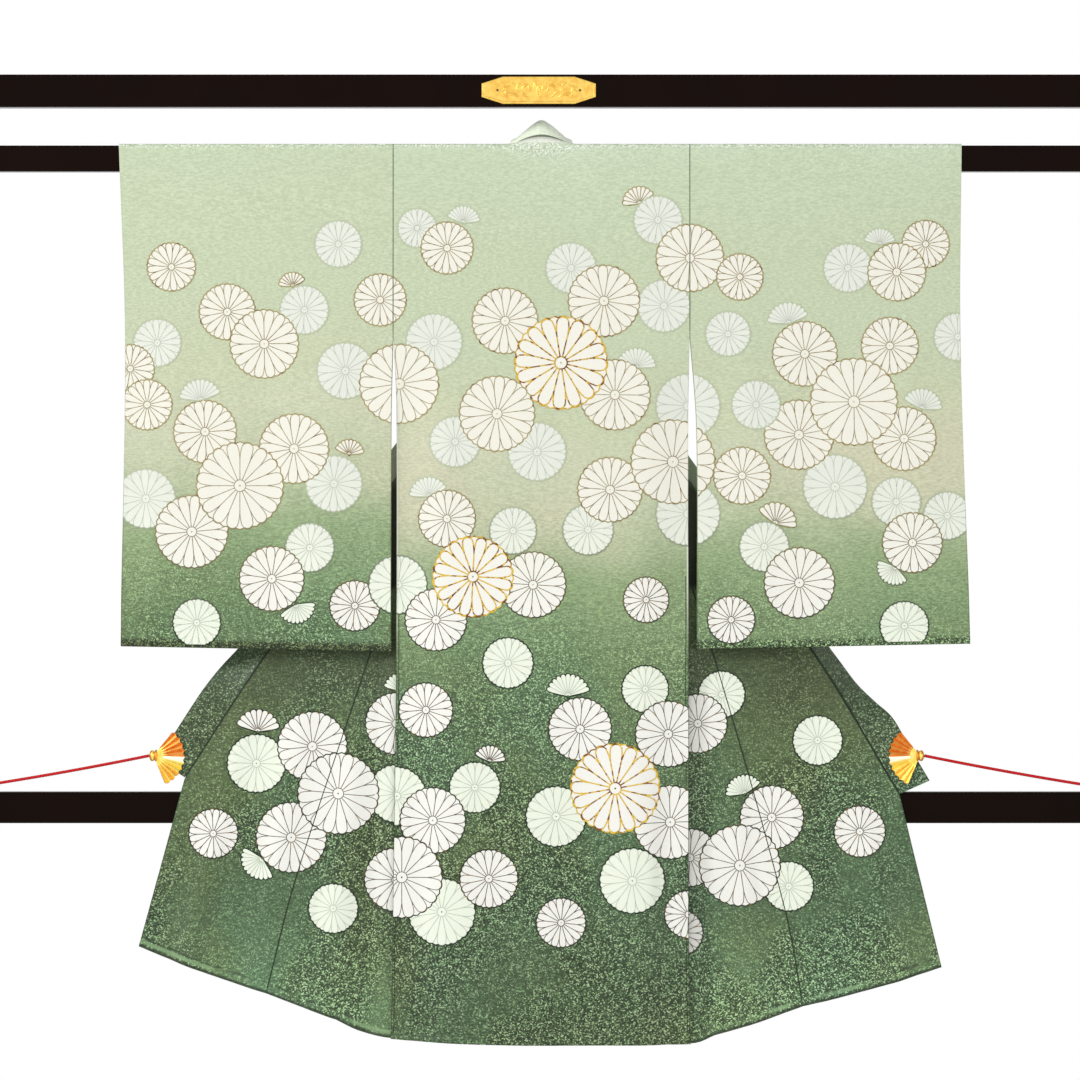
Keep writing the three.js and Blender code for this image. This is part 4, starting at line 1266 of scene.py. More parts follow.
def make_sleeve(side):
    """Both walls of a sleeve in one strip, from the crest down the far wall, round the foot and up."""
    shares = np.linspace(0, 1, 66)

    def row(direction, down):
        return sleeve_wall(side, direction, *sleeve_place(side, shares, down), 0)

    downs = [*crest_rows()[1:], *np.linspace(8, HEM, 118)]
    near = [row(-1, down) for down in downs]
    far = [row(1, down) for down in downs]
    middle = (near[-1] + far[-1]) / 2
    half_gap = np.abs(far[-1][:, 1] - near[-1][:, 1]) / 2
    foot = []
    for angle in np.radians((30, 60, 90, 120, 150)):
        bent = middle.copy()
        bent[:, 1] += half_gap * math.cos(angle)
        bent[:, 2] -= SLEEVE_FOOT_GAP / 2 * math.sin(angle)
        foot.append(bent)
    grid = np.array([row(1, -PATH_OVER_DROP), *far, *foot, *near[::-1]])
    name = side["name"]
    piece = cloth("sleeve_cloth_" + name, grid, [SLEEVE_SILK[name], LINING], loop=True, flip=side["sign"] > 0)
    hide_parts("sleeve_" + name)
    return piece


def smoothed_rows(rows, factor):
    """The rows with extra ones between them, on a smooth curve through each column."""
    rows = np.array(rows)
    count = len(rows)
    at = np.linspace(0, count - 1, (count - 1) * factor + 1)
    i = np.clip(at.astype(int), 0, count - 2)
    t = (at - i)[:, None, None]
    before = rows[np.clip(i - 1, 0, None)]
    after = rows[np.clip(i + 2, None, count - 1)]
    a, b = rows[i], rows[i + 1]
    return curve_between(a, b, (b - before) / 2, (after - a) / 2, t)


def make_collar():
    stations = collar_stations()
    last = len(stations) - 1
    rows = []
    for i, (seam, way, bend, square) in enumerate(stations):
        tangent = stations[min(last, i + 1)][0] - stations[max(0, i - 1)][0]
        tangent = tangent / np.linalg.norm(tangent)
        across = way - tangent * way.dot(tangent) if square else way
        across /= np.linalg.norm(across)
        at_bend = 0.1 + (CLOTH + COLLAR_CLOTH) / 2 * math.tan(bend / 2)
        clear = max(at_bend, mix(1.6, 0.1, float(smooth((abs(seam[0]) - 40) / 60))))
        rows.append([seam + across * w for w in np.linspace(clear, COLLAR_WIDTH, 9)])
    grid = smoothed_rows(rows, 6)
    half = np.full(grid.shape[:2], COLLAR_CLOTH / 2)
    half[:, [0, -2, -1]] = np.array((0.3, 0.55, 0.3)) * COLLAR_CLOTH
    piece = cloth("collar_cloth", grid, [COLLAR_SILK, COLLAR_SILK], half=half)
    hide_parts("collar")
    return piece


# Chrysanthemum roundels, placed one by one. Kind, column and row of the middle and width in the photograph's
# pixels: O outlined, G bold gold outlines, W white. F is a small half flower and H an outlined one, each
# with its lean in degrees clockwise. Later rows lie over earlier ones.
UPPER_MOTIFS = (
    ("F", 199, 390, 40, -8), ("H", 291, 279, 26, -12), ("F", 299, 612, 36, 161), ("H", 350, 447, 28, 8),
    ("F", 464, 214, 32, 8), ("H", 637, 195, 32, -20), ("F", 638, 358, 37, 12), ("F", 427, 487, 37, -12),
    ("F", 787, 313, 40, -10), ("F", 880, 236, 30, 0), ("F", 924, 399, 38, 15), ("H", 779, 514, 40, 25),
    ("F", 890, 573, 34, 215),
    ("O", 171, 266, 50), ("W", 338, 243, 48), ("O", 227, 311, 58), ("W", 304, 309, 50), ("O", 264, 343, 71),
    ("O", 380, 299, 54), ("W", 157, 342, 49), ("O", 130, 368, 50), ("O", 147, 404, 52), ("W", 345, 370, 58),
    ("W", 434, 341, 58), ("O", 399, 383, 82), ("O", 205, 431, 65), ("W", 334, 483, 58), ("O", 294, 448, 72),
    ("W", 146, 498, 61), ("O", 192, 531, 75), ("O", 240, 485, 90), ("W", 310, 547, 50), ("O", 272, 578, 67),
    ("O", 355, 605, 52), ("W", 398, 584, 60), ("W", 197, 622, 49),
    ("W", 417, 227, 40), ("O", 447, 247, 54), ("W", 658, 219, 50), ("W", 664, 305, 54), ("O", 690, 257, 70),
    ("W", 571, 267, 52), ("O", 604, 300, 74), ("O", 505, 320, 68), ("O", 615, 394, 73), ("G", 561, 362, 96),
    ("W", 455, 441, 52), ("W", 537, 451, 60), ("O", 497, 413, 78), ("O", 447, 518, 59), ("W", 513, 530, 48),
    ("O", 533, 584, 68), ("O", 436, 619, 64), ("G", 473, 576, 83), ("W", 588, 529, 52), ("O", 610, 489, 67),
    ("W", 688, 405, 66), ("W", 688, 513, 66), ("O", 673, 461, 87), ("O", 646, 599, 47),
    ("O", 740, 276, 48), ("W", 848, 267, 50), ("O", 926, 243, 49), ("O", 897, 271, 60), ("W", 728, 333, 46),
    ("O", 805, 353, 67), ("O", 890, 345, 59), ("W", 835, 486, 66), ("O", 799, 434, 72), ("O", 904, 438, 66),
    ("O", 854, 401, 90), ("W", 958, 336, 49), ("W", 756, 404, 50), ("O", 742, 475, 59), ("W", 896, 501, 50),
    ("W", 947, 515, 49), ("O", 912, 542, 62), ("W", 764, 546, 51), ("O", 799, 582, 73), ("O", 731, 619, 49),
    ("W", 904, 625, 50),
)
LOWER_MOTIFS = (
    ("F", 568, 685, 42, 0), ("H", 491, 753, 30, 12),
    ("W", 508, 662, 52), ("O", 426, 709, 56), ("W", 645, 688, 48), ("O", 668, 733, 68), ("O", 580, 728, 65),
    ("W", 556, 815, 62), ("O", 670, 821, 76), ("G", 615, 787, 92), ("W", 632, 879, 67), ("W", 475, 786, 52),
    ("W", 397, 795, 60), ("O", 433, 819, 68), ("W", 442, 910, 69), ("O", 489, 877, 60), ("O", 402, 876, 84),
    ("O", 561, 921, 51), ("O", 688, 913, 49),
)
WING_MOTIFS = {
    "left": (
        ("H", 258, 721, 42, 5), ("F", 255, 865, 40, 225), ("F", 402, 682, 36, 0), ("W", 256, 763, 60),
        ("O", 396, 723, 64), ("W", 397, 793, 60), ("O", 312, 746, 72), ("O", 291, 837, 73),
        ("O", 338, 793, 84), ("O", 213, 833, 51), ("W", 333, 908, 51), ("O", 396, 879, 66),
    ),
    "right": (
        ("F", 742, 785, 36, -20), ("W", 722, 694, 48), ("O", 698, 723, 61), ("W", 818, 740, 51),
        ("O", 690, 857, 60), ("O", 772, 817, 66), ("W", 789, 886, 51), ("O", 740, 865, 84),
        ("O", 860, 831, 53), ("O", 680, 932, 48),
    ),
}
HALF_FLOWERS = "FH"
# The colours of each kind of roundel, and the widths of its lines and its rim in millimetres
KINDS = {
    "O": {"fill": "cream", "rim": "rim", "line": "line", "line_width": 0.75, "rim_width": 1.3},
    "W": {"fill": "white", "rim": "soft_rim", "line": "faint", "line_width": 0.6, "rim_width": 1.75},
    "G": {"fill": "pale_gold", "rim": "gold", "line": "gold", "line_width": 1.45, "rim_width": 1.5},
}
# Petals, their half angle, and their shape as shares of the roundel's radius and of that angle
PETALS = 16
HALF_PETAL = math.pi / PETALS
HUB = 0.13
PETAL_ROOT = 0.62
PETAL_SIDE = 0.8
PETAL_ROUND = 0.17
PETAL_WIDE = 0.85
BEHIND_TIP = 0.97
BEHIND_ROUND = 0.07
# A half flower's foot, reach and stem, as shares of its width
HALF_FOOT = 0.24
HALF_REACH = 0.53
HALF_SPREAD = math.radians(154)
HALF_STEM = ((-0.03, -0.01), (-0.03, -0.045), (0.03, -0.045), (0.03, -0.01))
STEM_BEND = 0.022
# Heights above the cloth, and how far outside a roundel that lies over it a piece is cut off
LIFTS = {"fill": 0.26, "rim": 0.34, "line": 0.42}
MARGINS = {"fill": 0.35, "rim": 0.35, "line": 0.85}
EDGE_MARGIN = 0.6
HEM_MARGIN = 8
FOOT_MARGIN = 4


def petal_tip(off):
    """A petal's own outline as a share of the radius. Off is 0 on its middle line and 1 between two."""
    round_end = PETAL_SIDE + PETAL_ROUND * np.sqrt(np.clip(1 - (off / PETAL_WIDE) ** 2, 0, 1))
    beside = mix(PETAL_ROOT, PETAL_SIDE, (1 - off) / (1 - PETAL_WIDE))
    return np.where(off < PETAL_WIDE, round_end, beside)


def roundel_reach(angle):
    """The whole outline's share of the radius: the petals' tips, and smaller tips behind them."""
    off = np.abs((angle + HALF_PETAL) % (2 * HALF_PETAL) - HALF_PETAL) / HALF_PETAL
    behind = BEHIND_TIP - BEHIND_ROUND * (2 * (1 - off)) ** 2
    return np.maximum(petal_tip(off), behind)


def ribbon(line, width, closed=False):
    """A flat strip along a line of 2-D points."""
    line = np.asarray(line, float)
    if closed:
        way = np.roll(line, -1, axis=0) - np.roll(line, 1, axis=0)
    else:
        way = np.gradient(line, axis=0)
    way /= np.linalg.norm(way, axis=1, keepdims=True)
    across = np.stack([-way[:, 1], way[:, 0]], axis=1) * width / 2
    points = np.concatenate([line + across, line - across])
    count = len(line)
    k = np.arange(count if closed else count - 1)
    after = (k + 1) % count
    quads = np.stack([k, after, after + count, k + count], axis=1)
    return points, np.concatenate([quads[:, [0, 1, 2]], quads[:, [0, 2, 3]]])


def merged(parts):
    """Several (points, triangles) as one."""
    points, faces, start = [], [], 0
    for part_points, part_faces in parts:
        points.append(part_points)
        faces.append(part_faces + start)
        start += len(part_points)
    return np.concatenate(points), np.concatenate(faces)


def ring_strips(rings, closed=True):
    """Triangles between rings of points that all have the same count."""
    quads = grid_faces(len(rings), len(rings[0]), loop_columns=closed)
    return np.concatenate(rings), np.concatenate([quads[:, [0, 1, 2]], quads[:, [0, 2, 3]]])


def roundel(kind, width, turn):
    """The flat pieces of one roundel in its own plane: (role, colour, points, triangles)."""
    look = KINDS[kind]
    radius = width / 2
    angles = full_turn(PETALS * 8)
    outline = radius * roundel_reach(angles)
    few = angles[::2] + turn
    inner = [polar(radius * share, few) for share in np.linspace(0.84, 0.02, max(3, round(radius / 3.5)))]
    joint = np.stack([inner[0], (inner[0] + np.roll(inner[0], -1, axis=0)) / 2], axis=1).reshape(-1, 2)
    band = ring_strips([polar(outline, angles + turn), joint])
    wide = look["line_width"]
    strips = [ribbon(polar(HUB * radius, full_turn(24)), wide, closed=True)]
    along_tip = np.sin(math.pi / 2 * np.linspace(-1, 1, 13))
    tip = radius * petal_tip(np.abs(along_tip)) - wide / 2
    spoke = radius * np.linspace(HUB, PETAL_ROOT, max(4, round(radius / 7)))
    for petal in range(PETALS):
        middle = turn + 2 * HALF_PETAL * petal
        strips.append(ribbon(polar(spoke, middle + HALF_PETAL), wide))
        strips.append(ribbon(polar(tip, middle + HALF_PETAL * along_tip), wide))
    rim = polar(outline + look["rim_width"] / 4, angles + turn)
    return [
        ("fill", look["fill"], *merged([band, ring_strips(inner)])),
        ("rim", look["rim"], *ribbon(rim, look["rim_width"], closed=True)),
        ("line", look["line"], *merged(strips)),
    ]


def half_flower(outlined, width, lean):
    """A small chrysanthemum seen from its side: a fan of petals over a short stem."""
    base = np.array((0.0, -HALF_FOOT * width))
    reach = HALF_REACH * width
    petals = 9 if outlined else 11
    angles = np.linspace(-HALF_SPREAD / 2, HALF_SPREAD / 2, petals * 8 + 1) + math.pi / 2
    half = HALF_SPREAD / petals / 2
    off = np.abs((angles - angles[0]) % (2 * half) - half) / half
    tips = reach * (0.88 + 0.12 * np.sqrt(np.clip(1 - off**2, 0, 1)))
    rings = [base + polar(tips * share, angles) for share in (0.05, 0.25, 0.45, 0.65, 0.83, 1)]
    rim = base + polar(tips + 0.3, angles)
    stem = base + width * np.array(HALF_STEM)
    low = np.array((0, -STEM_BEND * width))
    outline = np.array([*rim, mix(rim[-1], stem[0], 0.4) + low, *stem, mix(stem[3], rim[0], 0.6) + low])
    spoke = reach * np.linspace(0.12, 0.88, 5)
    ways = angles[0] + 2 * half * np.arange(1, petals)
    strips = [ribbon(base + polar(spoke, way), 0.9 if outlined else 0.6) for way in ways]
    look = KINDS["O" if outlined else "W"]
    pieces = [
        ("fill", look["fill"], *ring_strips(rings, closed=False)),
        ("rim", look["rim"], *ribbon(outline, 1.2, closed=True)),
        ("line", look["line"], *merged(strips)),
    ]
    spin = math.radians(lean)
    rotate = np.array(((math.cos(spin), -math.sin(spin)), (math.sin(spin), math.cos(spin))))
    return [(role, paint, points @ rotate, faces) for role, paint, points, faces in pieces]


def clipped(points, faces, inside):
    """Cuts triangles along the line where inside(points) is zero, and keeps the positive part."""
    value = inside(points)
    good = value[faces] >= 0
    kept = faces[good.all(axis=1)].tolist()
    crossing = faces[good.any(axis=1) & ~good.all(axis=1)]
    points = list(points)
    for face in crossing:
        ring = []
        for k in range(3):
            a, b = face[k], face[(k + 1) % 3]
            if value[a] >= 0:
                ring.append(a)
            if (value[a] >= 0) != (value[b] >= 0):
                share = value[a] / (value[a] - value[b])
                points.append(points[a] + (points[b] - points[a]) * share)
                ring.append(len(points) - 1)
        for k in range(1, len(ring) - 1):
            kept.append([ring[0], ring[k], ring[k + 1]])
    return np.array(points), np.array(kept, int).reshape(-1, 3)


def place_of(motif):
    """A motif's middle as x and drop, and its width, in millimetres."""
    _, column, row, wide, *_ = motif
    middle = np.array(((column - MIDDLE_COLUMN) * PHOTO_SCALE, (row - SHOULDER_ROW) * PHOTO_SCALE))
    return middle, wide * PHOTO_SCALE


def turn_of(motif):
    return (motif[1] * 0.37 + motif[2] * 0.61) % (2 * math.pi)


def outside(motif, margin):
    """A function of points that is positive more than margin outside a roundel."""
    middle, width = place_of(motif)
    turn = turn_of(motif)

    def distance(points):
        offset = (points - middle) * np.array((1, -1))
        angle = np.arctan2(offset[:, 1], offset[:, 0]) - turn
        return np.hypot(offset[:, 0], offset[:, 1]) - width / 2 * roundel_reach(angle) - margin

    return distance


def pieces_of(motif):
    """A motif's flat pieces, about its own middle."""
    kind = motif[0]
    _, width = place_of(motif)
    if kind in HALF_FLOWERS:
        return half_flower(kind == "H", width, motif[4])
    return roundel(kind, width, turn_of(motif))


def roundels_over(motif, later_motifs):
    """The later roundels that may lie over a motif. Half flowers cover nothing."""
    middle, width = place_of(motif)
    over = []
    for later in later_motifs:
        other, other_width = place_of(later)
        near = np.linalg.norm(other - middle) < (width + other_width) / 2 + 2
        if near and later[0] not in HALF_FLOWERS:
            over.append(later)
    return over


def cut_to_shape(points, faces, role, over, limits):
    """What is left of a piece outside the roundels over it and inside the panel's limits."""
    cuts = [outside(later, MARGINS[role]) for later in over]
    cuts += [lambda p, limit=limit: limit(p[:, 0], p[:, 1]) for limit in limits]
    for inside in cuts:
        if len(faces):
            points, faces = clipped(points, faces, inside)
    return points, faces


def printed_mesh(name, parts, paints, facing):
    """One mesh of printed (points, triangles, colour), whose faces look the way that the panel does."""
    order = list(paints)
    indices = np.concatenate([np.full(len(faces), order.index(paint)) for _, faces, paint in parts])
    points, faces = merged([(points, faces) for points, faces, _ in parts])
    a, b, c = (points[faces[:, k]] for k in range(3))
    turned = np.cross(b - a, c - a)[:, 1] * facing < 0
    faces[turned] = faces[turned][:, ::-1]
    used, inverse = np.unique(faces, return_inverse=True)
    return mesh_object(name, points[used], inverse.reshape(-1, 3), list(paints.values()), indices)


def make_motifs(name, motifs, surface, limits, facing):
    """Flowers printed on one panel. Surface gives points in space from (x, drop, lift), limits are
    functions of (x, drop) that are positive inside the panel, and facing is its way along y."""
    gathered = {"fill": [], "line": []}
    for index, motif in enumerate(motifs):
        middle, width = place_of(motif)
        if min(float(limit(*middle)) for limit in limits) < -width / 2 - 8:
            continue
        over = roundels_over(motif, motifs[index + 1 :])
        for role, paint, points, faces in pieces_of(motif):
            flat, faces = cut_to_shape(points * (1, -1) + middle, faces, role, over, limits)
            if len(faces):
                placed = surface(flat[:, 0], flat[:, 1], LIFTS[role])
                gathered["fill" if role == "fill" else "line"].append((placed, faces, paint))
    made = []
    for group, paints, slot in (("fill", FILLS, "motif_cream"), ("line", LINES, "motif_gold")):
        piece = printed_mesh(f"motifs_{name}_{group}", gathered[group], paints, facing)
        made.append(piece)
    return made


def back_motifs():
    def surface(x, drop, lift):
        return back_point(x, drop, CLOTH / 2 + lift)

    limits = [
        lambda x, drop: edge_out(LEFT["body_edge"], drop) - EDGE_MARGIN + x,
        lambda x, drop: edge_out(RIGHT["body_edge"], drop) - EDGE_MARGIN - x,
        lambda x, drop: hem_drop(x) - HEM_MARGIN - drop,
    ]
    return make_motifs("back", (*UPPER_MOTIFS, *LOWER_MOTIFS), surface, limits, -1)


def sleeve_motifs(side, motifs, direction, name):
    sign = side["sign"]

    def edges(drop):
        return edge_out(side["sleeve_inner"], drop), along(side["sleeve_outer"], "drop", drop, "out")

    def surface(x, drop, lift):
        return sleeve_wall(side, direction, sign * x, drop, CLOTH / 2 + lift)

    def above_foot(x, drop):
        inner, outer = edges(drop)
        share = (sign * x - inner) / (outer - inner)
        return mix(*side["sleeve_hem"], share) - FOOT_MARGIN - drop

    limits = [
        lambda x, drop: sign * x - edges(drop)[0] - EDGE_MARGIN,
        lambda x, drop: edges(drop)[1] - EDGE_MARGIN - sign * x,
        above_foot,
    ]
    return make_motifs(name, motifs, surface, limits, direction)


def wing_motifs(side, part):
    sign = side["sign"]

    def surface(x, drop, lift):
        return returned_wall(side, sign * x, drop, TURN_BACK - CLOTH / 2 - lift)

    limits = [lambda x, drop: hem_drop_out(side, sign * x) - HEM_MARGIN - drop]
    if part == "front":
        limits.append(lambda x, drop: sign * x - edge_out(side["body_edge"], drop) + 6)
        limits.append(lambda x, drop: okumi_seam_out(side, drop) - EDGE_MARGIN - sign * x)
    else:
        limits.append(lambda x, drop: sign * x - okumi_seam_out(side, drop) - EDGE_MARGIN)
        limits.append(lambda x, drop: wing_edge(side, drop) - EDGE_MARGIN - sign * x)
    return make_motifs(f"{part}_{side['name']}", WING_MOTIFS[side["name"]], surface, limits, -1)


def mirrored(motifs):
    turned = []
    for kind, column, row, wide, *lean in motifs:
        turned.append((kind, 2 * MIDDLE_COLUMN - column, row, wide, *(-angle for angle in lean)))
    return tuple(turned)


back = make_back()
collar = make_collar()
fronts = {side["name"]: make_front(side) for side in SIDES}
okumis = {side["name"]: make_okumi(side) for side in SIDES}
sleeves = {side["name"]: make_sleeve(side) for side in SIDES}

printed = {"back": back_motifs()}
FAR_MOTIFS = mirrored(UPPER_MOTIFS)
for one_side in SIDES:
    label = one_side["name"]
    printed["sleeve_" + label] = sleeve_motifs(one_side, UPPER_MOTIFS, -1, "sleeve_" + label)
    printed["sleeve_" + label] += sleeve_motifs(one_side, FAR_MOTIFS, 1, f"sleeve_{label}_far")
    printed["front_" + label] = wing_motifs(one_side, "front")
    printed["okumi_" + label] = wing_motifs(one_side, "okumi")


# Lines of stitching, with painted shade in the seam grooves, a little above the cloth
STITCH_LIFT = CLOTH / 2 + 0.12


def make_seams(side):
    """Dark lines of stitching with the grooves' painted shade: the okumi's seam and the collar's seam, on the
    opened front.
    """
    top = OKUMI_TOP + 30
    okumi_line = np.array([(front_edge(side, c), edge_drop(side, c)) for c in np.linspace(top, HEM - 6, 150)])
    collar_line = np.array([outer_edge(side, c) for c in np.linspace(top, COLLAR_END - 2, 110)])
    parts = []
    for line, width in ((okumi_line, 0.95), (collar_line, side["collar_line"])):
        flat, faces = ribbon(line * (side["sign"], 1), width)
        placed = returned_wall(side, side["sign"] * flat[:, 0], flat[:, 1], TURN_BACK - STITCH_LIFT)
        parts.append((placed, faces))
    piece = mesh_object("seam_lines_" + side["name"], *merged(parts), [SEAM_LINE])
    return piece


def make_edge_lines():
    """The pressed edges of the back below the armholes, a narrow dark line just inside each."""
    parts = []
    for side in SIDES:
        drops = np.linspace(SIDE_OPENING + 180, HEM - 10, 160)
        inset = edge_out(side["body_edge"], drops) - 3.2 - 0.25 * np.sin(drops / 31)
        flat, faces = ribbon(np.stack([side["sign"] * inset, drops], axis=1), 0.75)
        parts.append((back_point(flat[:, 0], flat[:, 1], STITCH_LIFT), faces))
    piece = mesh_object("edge_lines_back", *merged(parts), [SEAM_LINE])
    return piece


edge_lines = make_edge_lines()
seams = {side["name"]: make_seams(side) for side in SIDES}


# Fan clips
PLEATS = 10
FAN_HUB = 12.5
FAN_START = 3.2
FAN_CLOTH = 0.8
PLEAT_DEPTH = 1.5
SCALLOP = 0.045
HUB_RING = (9.2, 10.4)


def fan_gilt_and_reflections(x, z):
    """Which material a place on the fan gets: a plain hub with an orange ring, and pleats painted with
    reflections of the pleated gilt, orange and brown above, a painted white highlight between, and bright
    gold and amber below.
    """
    radius, angle = math.hypot(x, z), math.atan2(z, x) + FAN_TILT
    facet = math.floor((angle / FAN_SPREAD + 0.5) * 2 * PLEATS)
    if radius < FAN_HUB:
        return 1 if HUB_RING[0] < radius < HUB_RING[1] else 0
    if facet > PLEATS:
        return 1 + facet % 2
    if facet >= PLEATS - 1:
        return 3
    return 0 if facet % 2 or facet > 4 else 4


def make_fan(side):
    """A folding fan of gilt metal: pleats from a hub, with a scalloped edge."""
    sign = side["sign"]
    near = -(COLLAR_CLOTH / 2 + 2 * SEAM + 0.5 + FAN_CLOTH)
    rows = []
    for share in np.linspace(-0.5, 0.5, 8 * PLEATS + 1):
        angle = share * FAN_SPREAD - FAN_TILT
        phase = (share + 0.5) * 2 * PLEATS
        wave = abs(phase % 2 - 1) * 2 - 1
        tip = 1 - SCALLOP * abs(math.cos(phase * math.pi / 2)) ** 2
        line = []
        for radius in np.linspace(FAN_START, FAN_RADIUS * tip, 16):
            depth = PLEAT_DEPTH * wave * float(smooth((radius - FAN_HUB + 1.5) / 3)) * radius / FAN_RADIUS
            line.append((-sign * radius * math.cos(angle), near - depth, radius * math.sin(angle)))
        rows.append(line)
    piece = cloth("fan_gilt_" + side["name"], np.array(rows), FAN_GILT_AND_REFLECTIONS, half=FAN_CLOTH / 2)
    # painted reflections and a painted highlight, chosen by pleat
    for face in piece.data.polygons:
        face.material_index = fan_gilt_and_reflections(-sign * face.center.x / MM, face.center.z / MM)
    turn_and_move(piece, math.atan(LEAN_SLOPE), knob_place(side))
    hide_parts("fan_" + side["name"])
    return piece


# The knob's turned profile: distance along its axis from its middle, and radius
KNOB_PROFILE = (
    (-5.6, 2.0), (-5.4, 5.4), (-4.9, 6.8), (-4.0, 7.1), (-3.1, 6.6), (-2.7, 5.2), (-2.3, 3.6), (-1.8, 3.6),
    (-1.4, 4.9), (-0.6, 5.9), (0.5, 6.3), (1.6, 6.1), (2.6, 5.1), (3.3, 3.6), (3.7, 2.4), (3.9, 1.6),
)


def make_knob(side):
    """The button at the fan's hub where the cord goes in, turned about x, with a ring at its neck."""
    sign = side["sign"]
    start = knob_place(side) + (sign * KNOB_OUT, 0, 0)
    rings = []
    for at, radius in KNOB_PROFILE:
        ring = polar(radius, full_turn(28))
        rings.append(start + np.column_stack([np.full(28, sign * at), ring]))
    piece = mesh_object("knob_" + side["name"], *capped(rings, turned=sign > 0), [KNOB_GOLD], sharp=50)
    return piece


def turn_and_move(piece, tilt, place):
    points = np.array([v.co[:] for v in piece.data.vertices]) / MM
    y, z = points[:, 1].copy(), points[:, 2].copy()
    points[:, 1] = y * math.cos(tilt) + z * math.sin(tilt)
    points[:, 2] = -y * math.sin(tilt) + z * math.cos(tilt)
    points += place
    piece.data.vertices.foreach_set("co", (points * MM).astype(np.float32).ravel())
    piece.data.update()


for one_side in SIDES:
    make_fan(one_side)
    make_knob(one_side)


# Gold plate: half its length, half the length of its flat edges, half its height and half its ends'
PLATE_LONG = 65.5
PLATE_FLAT = 41.3
PLATE_HIGH = 15.6
PLATE_END = 7.7
PLATE_MIDDLE = np.array((-3.2, -TOP_RAIL_DEPTH / 2 - SEAM, SHOULDER + 61.2))
# Its raised rim: distance in from the edge, and height above the rail
PLATE_STEPS = ((0, 0), (0, 0.9), (0.8, 1.5), (2.2, 1.5), (2.9, 1.0), (3.4, 1.0))
PLATE_FACE = 1.0
# Low leaves, half sunk in the face and the same on both halves: place, way in degrees, length and bend
PLATE_LEAVES = (
    (1, -9, 70, 17, 60), (3, 10, -50, 13, -80), (7, -2, 20, 12, 100), (9, 5, 30, 13, -110),
    (12, -8, 10, 12, 70), (17, 1, -60, 11, 130), (20, 8, -20, 12, -90), (23, -9, 60, 13, -100),
    (27, 3, 100, 11, -150), (30, -2, -30, 12, 120), (33, 9, -70, 11, 90), (35, -8, 20, 10, 110),
    (40, 4, -100, 9, 120), (1, 1, 0, 9, 160),
)
LEAF_POINTS = 16
LEAF_HIGH = 0.34
LEAF_WIDE = 1.35
NAIL_AT = 47.4
NAIL_RADIUS = 1.5


def on_plate(flat, height):
    """Points of the plate's own plane, at a height above the rail."""
    return np.stack([flat[:, 0], np.full(len(flat), -height), flat[:, 1]], axis=1) + PLATE_MIDDLE


def make_plate():
    widths = (-PLATE_LONG, -PLATE_FLAT, PLATE_FLAT, PLATE_LONG)
    lower = list(zip(widths, (-PLATE_END, -PLATE_HIGH, -PLATE_HIGH, -PLATE_END)))
    corners = np.array([*lower, *((-x, -z) for x, z in lower)])
    rings = []
    for inset, height in PLATE_STEPS:
        shrink = (1 - inset / PLATE_LONG, 1 - inset / PLATE_HIGH)
        rings.append(on_plate(corners * shrink, height))
    piece = mesh_object("plate_gilt", *capped(rings, turned=True), [PLATE_GOLD], sharp=20)
    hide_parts("gold_plate")


def leaf(sign, x, z, way, length, bend):
    """A rounded ridge along a bent line on the plate, swelling in its middle."""
    shares = np.linspace(0, 1, LEAF_POINTS)
    steps = polar(length / LEAF_POINTS, np.radians(way + bend * shares))
    route = on_plate((np.array((x, z)) + np.cumsum(steps, axis=0)) * (sign, 1), PLATE_FACE)
    swell = np.sin(math.pi * mix(0.08, 0.94, shares)) * length / 12
    ways = np.gradient(route, axis=0)
    beside = np.cross(ways / np.linalg.norm(ways, axis=1, keepdims=True), (0, 1.0, 0))
    circle = full_turn(8)
    out = np.outer(np.cos(circle), (0, -LEAF_HIGH, 0))
    rings = []
    for point, across, wide in zip(route, beside, swell):
        rings.append(point + out + np.outer(np.sin(circle), LEAF_WIDE * wide * across))
    return capped(rings)


def make_leaves():
    parts = [leaf(sign, *row) for sign in (-1, 1) for row in PLATE_LEAVES]
    piece = mesh_object("plate_scrolls", *joined(parts), [ENGRAVED])


def disc_faces(count):
    """Triangles from a middle point, the first one, to the ring of points that follow it."""
    k = np.arange(count)
    return np.stack([np.zeros(count, int), k + 1, (k + 1) % count + 1], axis=1)


# The nail holes are flat discs of painted shade just above the plate's face.
def make_nail_holes():
    parts = []
    for x in (-NAIL_AT, NAIL_AT):
        flat = np.concatenate([np.zeros((1, 2)), polar(NAIL_RADIUS, full_turn(16))]) + (x, 0)
        parts.append((on_plate(flat, PLATE_FACE + 0.12), disc_faces(16)))
    piece = mesh_object("plate_nail_holes", *merged(parts), [NAIL_HOLE_SHADE])


make_plate()
make_leaves()
make_nail_holes()

# The rack's solids keep their shape and get lacquer
for node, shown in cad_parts.items():
    if node.startswith(("rail_", "post_", "foot_")):
        shown.data.materials.clear()
        shown.data.materials.append(LACQUER)
    elif node.startswith("clip_"):
        shown.data.materials.clear()
        shown.data.materials.append(FAN_GOLD)


def cut_area(width_at, start):
    """The area of a piece whose width changes down the cut cloth."""
    cuts = np.linspace(start, HEM, 120)
    widths = np.array([width_at(cut) for cut in cuts])
    return float(((widths[1:] + widths[:-1]) / 2 * np.diff(cuts)).sum()) * MM * MM


def front_width(side, cut):
    turn = float(turn_at(cut))
    edge = front_edge(side, cut)
    flat = max(3.0, edge - fold_line(side, cut))
    start = edge + ROLL_LENGTH / turn * math.sin(turn) + flat * math.cos(turn)
    return float(edge_out(side["body_edge"], row_drop(side, cut))) - start + ROLL_LENGTH + flat


